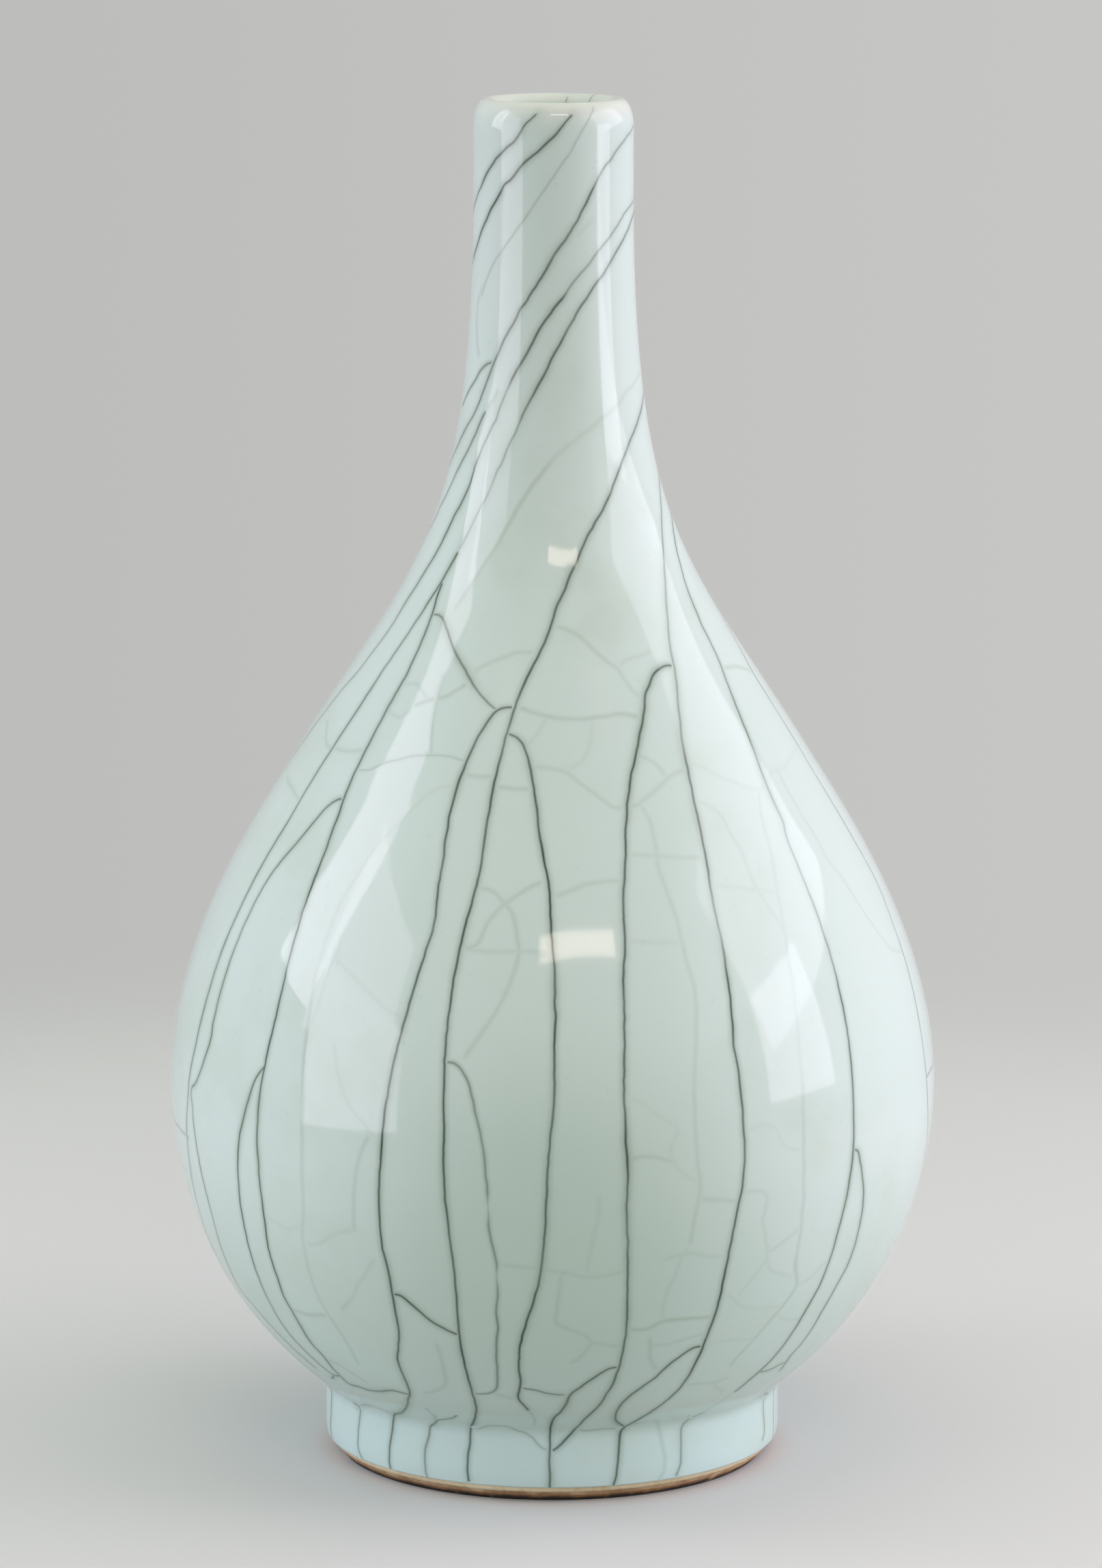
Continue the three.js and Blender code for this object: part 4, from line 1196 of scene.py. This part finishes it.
def layer(run, thickness, thin=4):
    """The closed outline of a layer: out along the run, and back inside it through fewer points."""
    back = set_back(run, thickness)[::-1]
    kept_rows = np.unique(np.append(np.arange(0, len(back), thin), len(back) - 1))
    return np.vstack([run, back[kept_rows], run[:1]])


outer_layer = layer(outside, glaze_thickness)
outer_glaze = turn_skin("glaze", outer_layer, outer_turns, outer_finish, outer_swell, dark_spine)
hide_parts("outer_glaze")
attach(outer_glaze, "root")

# %% Lay the ink
ink_step = 0.8
ink_tremor = 0.75
ink_seed = 2.0
inks = {
    "dark_ink": (dark_ink, dark_reach, 0.022, 0.5),
    "thin_ink": (middle_ink, middle_reach, 0.018, 0.8),
    "pale_ink": (pale_ink, pale_reach, 0.014, 1.2),
}
for name, (finish, reach, lift_height, fade_length) in inks.items():
    ink_piece = grow(name, drawings[name], inking, {
        "Skin": outer_glaze, "Section": crack_section, "Cracks": dark_spine, "Step": ink_step * MM,
        "Reach": reach * MM, "Lift": lift_height * MM, "Fade": fade_length * MM,
        "Tremor": ink_tremor * MM, "Seed": ink_seed, "Finish": finish})
    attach(ink_piece, "root")
bpy.data.objects.remove(dark_spine)
bpy.data.objects.remove(crack_section)

# %% [markdown]
# The inside is glazed too, and so is the hollow under the foot. Both are turned the same way, from the
# outlines of their solids.

# %% Inner glaze
floor_height = 26
heel_width = 12
inside_turns = 160

inside_angle = math.asin((belly_height - floor_height) / (belly_depth - wall_depth))
heel_angle = heel_width / belly_radius
inside_belly = ellipse_run(
    (0, belly_height), (belly_radius - wall_depth, belly_depth - wall_depth),
    heel_angle - inside_angle, 0, count=30)
heel_radius = (belly_radius - wall_depth) * math.cos(inside_angle)
heel_run = bezier_run(
    [(heel_radius - heel_width, floor_height), (heel_radius, floor_height), inside_belly[0]], count=6)
floor_run = bezier_run([(0, floor_height), heel_run[0]], count=8)
upper_inside = set_back(end_to_end(shoulder_run, sweep_run, neck_run), wall_depth)
upper_inside = upper_inside[upper_inside[:, 1] < meet_height - 1]
mouth_end = bezier_run([upper_inside[-1], (bore_radius, meet_height)], count=1)
inside = end_to_end(floor_run, heel_run, inside_belly, upper_inside, mouth_end)
inside_layer = np.vstack([inside[::-1], set_back(inside[::4], -glaze_thickness), [
    (bore_radius + glaze_thickness, meet_height)], inside[-1:]])

inner_glaze = turn_skin("inner_glaze_skin", inside_layer, inside_turns, inner_finish)
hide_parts("inner_glaze")
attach(inner_glaze, "root")

# %% Well glaze
foot_ring_width = 12
well_glaze_height = 4
well_fillet = 2

well_radius = foot_radius - foot_ring_width
well_top = bowl_base - seat_gap
well_ceiling = well_top - glaze_thickness
well_corner = ellipse_run(
    (well_radius - well_fillet, well_ceiling - well_fillet), (well_fillet, well_fillet),
    math.pi / 2, 0, count=6)
well_outline = np.vstack([
    bezier_run([(0, well_ceiling), well_corner[0]], count=8), well_corner[1:],
    bezier_run([well_corner[-1], (well_radius, well_glaze_height)], count=6)[1:],
    [(well_radius + glaze_thickness, well_glaze_height), (well_radius + glaze_thickness, well_top)],
    bezier_run([(well_radius, well_top), (0, well_top)], count=6)])
well_glaze = turn_skin("well_glaze_skin", well_outline[::-1], inside_turns, inner_finish)
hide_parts("well_glaze")
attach(well_glaze, "root")

# %% [markdown]
# ## The foot
# The bare ring shows as a narrow buff band under the glaze, and the brown rim below it touches the
# surface. Together they taper inwards from the edge of the glaze to the tread, as a potter chamfers a
# foot so that the glaze can't run down and stick to the kiln shelf.

# %% Foot ring
foot_turns = 240
dressing_height = 2.4
dressing_thickness = 0.8
slip_thickness = 1.2
ring_flare = 58.2
rim_outer = 56.9
tread_outer = 55

under_glaze = glaze_thickness + seat_gap
ring_inner = well_radius + under_glaze
ring_base = dressing_thickness + seat_gap
ring_top = bowl_base - 2 * seat_gap - slip_thickness
shelf = dressing_height + seat_gap
ring_outline = np.vstack([
    [(tread_outer - ring_base, ring_base), (rim_outer - ring_base, shelf), (rim_outer, shelf),
     (ring_flare, glaze_edge_height)],
    set_back(corner_run, under_glaze),
    [(foot_radius - under_glaze, ring_top), (ring_inner, ring_top), (ring_inner, shelf),
     (ring_inner + ring_base, shelf), (ring_inner + ring_base, ring_base),
     (tread_outer - ring_base, ring_base)]])
foot_ring = turn_skin("bare_foot_ring", ring_outline, foot_turns, ring_clay)
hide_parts("foot_ring")
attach(foot_ring, "root")

# %% The brown rim
tread_rounding = 0.55

rounding = (tread_rounding, tread_rounding)
outer_tread = ellipse_run(
    (tread_outer - tread_rounding, tread_rounding), rounding, -math.pi / 2, -math.pi / 4, count=4)
inner_tread = ellipse_run(
    (ring_inner + tread_rounding, tread_rounding), rounding, -math.pi, -math.pi / 2, count=4)
dressing_outline = np.vstack([
    outer_tread,
    [(rim_outer, dressing_height), (rim_outer - dressing_thickness, dressing_height),
     (tread_outer - dressing_thickness, dressing_thickness),
     (ring_inner + dressing_thickness, dressing_thickness),
     (ring_inner + dressing_thickness, dressing_height), (ring_inner, dressing_height)],
    inner_tread, outer_tread[:1]])
dressing = turn_skin("iron_rim", dressing_outline, foot_turns, brown_wash_and_contact_shadow)
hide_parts("foot_dressing")
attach(dressing, "root")

# %% [markdown]
# ## The hidden clay
# The thrown sections and the slip in their joints stay as the solids are. They only need their finish.

# %% Finish the solids that stay
kept_finishes = {
    "lower_body": bare_clay, "upper_body": bare_clay, "neck": bare_clay,
    "foot_joint_slip": slip_clay, "belly_joint_slip": slip_clay, "neck_joint_slip": slip_clay}
for node_name, finish in kept_finishes.items():
    slots = frame["nodes"][node_name].material_slots
    for slot in slots:
        slot.material = finish
    print(node_name, "slots:", len(slots))

# %% [markdown]
# ## Light and setting
# The vase stands on pale paper. A disc serves as the paper: it is solid near the vase, and clears
# further out, where the grey of the world takes over. That gives the same soft horizon from every
# side, and there is no wall that could stand between the vase and a camera behind it.

# %% Floor
floor_solid = 410
floor_clear = 670
floor_edge = 750
floor_rings = 12
floor_turns = 96
paper_grey = paint(209, 207, 207)


def disc_mesh(radius):
    """A flat disc in the plane of the foot, as rings round a middle point."""
    points = [(0, 0, 0)]
    faces = []
    for ring in range(1, floor_rings + 1):
        for turn_step in range(floor_turns):
            around_angle = 2 * math.pi * turn_step / floor_turns
            reach = radius * ring / floor_rings * MM
            points.append((reach * math.cos(around_angle), reach * math.sin(around_angle), 0))
            here = 1 + (ring - 1) * floor_turns + turn_step
            after = 1 + (ring - 1) * floor_turns + (turn_step + 1) % floor_turns
            if ring == 1:
                faces.append((0, here, after))
            else:
                faces.append((here - floor_turns, here, after, after - floor_turns))
    mesh = bpy.data.meshes.new("floor")
    mesh.from_pydata(points, [], faces)
    return mesh


floor = bpy.data.objects.new("floor", disc_mesh(floor_edge))
scene_objects.link(floor)
paper, paper_tree, paper_shader = material("paper")
paper_reach = paper_tree.vector("LENGTH", object_place(paper_tree), output="Value")
paper_shader.inputs["Base Color"].default_value = paper_grey
paper_shader.inputs["Roughness"].default_value = 0.9
paper_shader.inputs["Specular IOR Level"].default_value = 0.1
paper_fade = paper_tree.node("ShaderNodeMixShader", None, {
    0: paper_reach.smooth(floor_solid * MM, floor_clear * MM),
    1: Wire(paper_tree, paper_shader.outputs[0]), 2: paper_tree.node("ShaderNodeBsdfTransparent")})
paper_tree.put(paper.node_tree.nodes["Material Output"].inputs["Surface"], paper_fade)
floor.data.materials.append(paper)
print("floor faces:", len(floor.data.polygons))

# %% [markdown]
# The world has two jobs. Seen by the camera or in the glaze it is the grey of the backdrop, with painted
# light making it a little paler to the right. For everything else it is a weak light from above, and dark
# below.

# %% World
# Painted light: the backdrop is paler to the right, where the stronger lamps are.
shaded_left_grey, lit_right_grey = paint(188, 189, 187), paint(199, 199, 198)
grey_turn = 0.12
below_light, above_light = (0, 0, 0, 1), (0.55, 0.63, 0.55, 1)
horizon = 0.1

world = bpy.data.worlds.new("studio")
bpy.context.scene.world = world
world.use_nodes = True
studio = Tree(world.node_tree)
ray = studio.node("ShaderNodeLightPath", None, None, "Is Camera Ray")
seen = ray.high(ray.of("Is Glossy Ray")).high(ray.of("Is Transmission Ray"))
way = studio.split(studio.node("ShaderNodeTexCoord", None, None, "Generated"))
lit_backdrop_grey = studio.mix(way.of("X").smooth(-grey_turn, grey_turn), shaded_left_grey, lit_right_grey)
fill_light = studio.mix(way.of("Z").smooth(-horizon, horizon), below_light, above_light)
sky = world.node_tree.nodes["Background"]
studio.put(sky.inputs["Color"], studio.mix(seen, fill_light, lit_backdrop_grey))
print("nodes in the world:", len(world.node_tree.nodes))

# %% [markdown]
# The glaze mirrors its surroundings, so the lamps are placed by what has to show in it: a bright window
# on the right with a paler one above it, a tall narrow strip and a wide panel on the left, and a small
# warm lamp high in front. Two glints extend the left panel in the reflection alone, so that they don't
# light the floor. The four fills do the opposite: they light the glaze and the floor evenly from both
# sides, and the glaze doesn't mirror them. Places and sizes are in millimetres.

# %% Lamps that light and show
daylight = (1.0, 0.92, 1.07)


def softbox(name, centre, size, target, radiance, tint=(1, 1, 1), roll=0):
    """A rectangular lamp, in millimetres, of an even radiance, facing a point."""
    lamp = bpy.data.lights.new(name, "AREA")
    lamp.shape = "RECTANGLE"
    lamp.size = size[0] * MM
    lamp.size_y = size[1] * MM
    lamp.energy = radiance * math.pi * lamp.size * lamp.size_y
    lamp.color = tint
    holder = bpy.data.objects.new(name, lamp)
    holder.visible_camera = False
    scene_objects.link(holder)
    place = Vector(centre) * MM
    towards = (Vector(target) * MM - place).to_track_quat("-Z", "Y").to_matrix()
    turned = towards @ Matrix.Rotation(math.radians(roll), 3, "Z")
    holder.matrix_world = Matrix.Translation(place) @ turned.to_4x4()
    return holder


def side_panel(name, across, front, back, bottom, top, radiance, tint=(1, 1, 1)):
    """An upright lamp beside the vase, facing straight across it."""
    middle = ((front + back) / 2, (bottom + top) / 2)
    size = (back - front, top - bottom)
    return softbox(name, (across, *middle), size, (0, *middle), radiance, tint)


side_panel("right window", 720, -356, -35, 98, 420, 2.28, daylight)
softbox("right upper window", (718, -34, 602), (700, 550), (0, -34, 602), 1.7, daylight, roll=14)
side_panel("right upper wall", 900, -900, -350, 450, 1100, 0.4)
softbox("left strip", (-720, -60, 600), (240, 560), (0, -60, 600), 2.95, daylight, roll=-10)
side_panel("left panel", -725, -740, -200, 10, 440, 2.2, daylight)
side_panel("left upper panel", -725, -430, -215, 700, 1000, 0.3)
softbox("overhead", (0, -200, 1900), (1600, 1600), (0, 0, 0), 0.36, (1.3, 0.95, 0.6))
softbox("small front lamp", (1000, -6000, 5075), (3100, 600), (0, 0, 200), 5.1, (1.2, 0.96, 0.84))
print("lamps that light and show:", len(bpy.data.lights))

# %% Glints and fills
glints = [
    side_panel("left panel corner", -725, -200, -135, 262, 440, 2.2, daylight),
    side_panel("left panel top", -725, -620, -125, 440, 730, 1.5, daylight),
]
for glint in glints:
    glint.visible_diffuse = False

fills = [
    side_panel("right low fill", 900, -500, 600, 0, 140, 4.45, (0.99, 0.98, 1.05)),
    side_panel("right fill", 900, -500, 600, 220, 1100, 1.16, (1.02, 0.86, 1.15)),
    side_panel("left low fill", -900, -500, 600, 0, 140, 1.3, (0.88, 1.02, 1.1)),
    side_panel("left fill", -900, -500, 600, 220, 1100, 0.67, (0.84, 0.93, 1.3)),
]
for fill in fills:
    fill.visible_glossy = False

bpy.context.scene.view_settings.view_transform = "Standard"
print("glints:", len(glints), "fills:", len(fills))
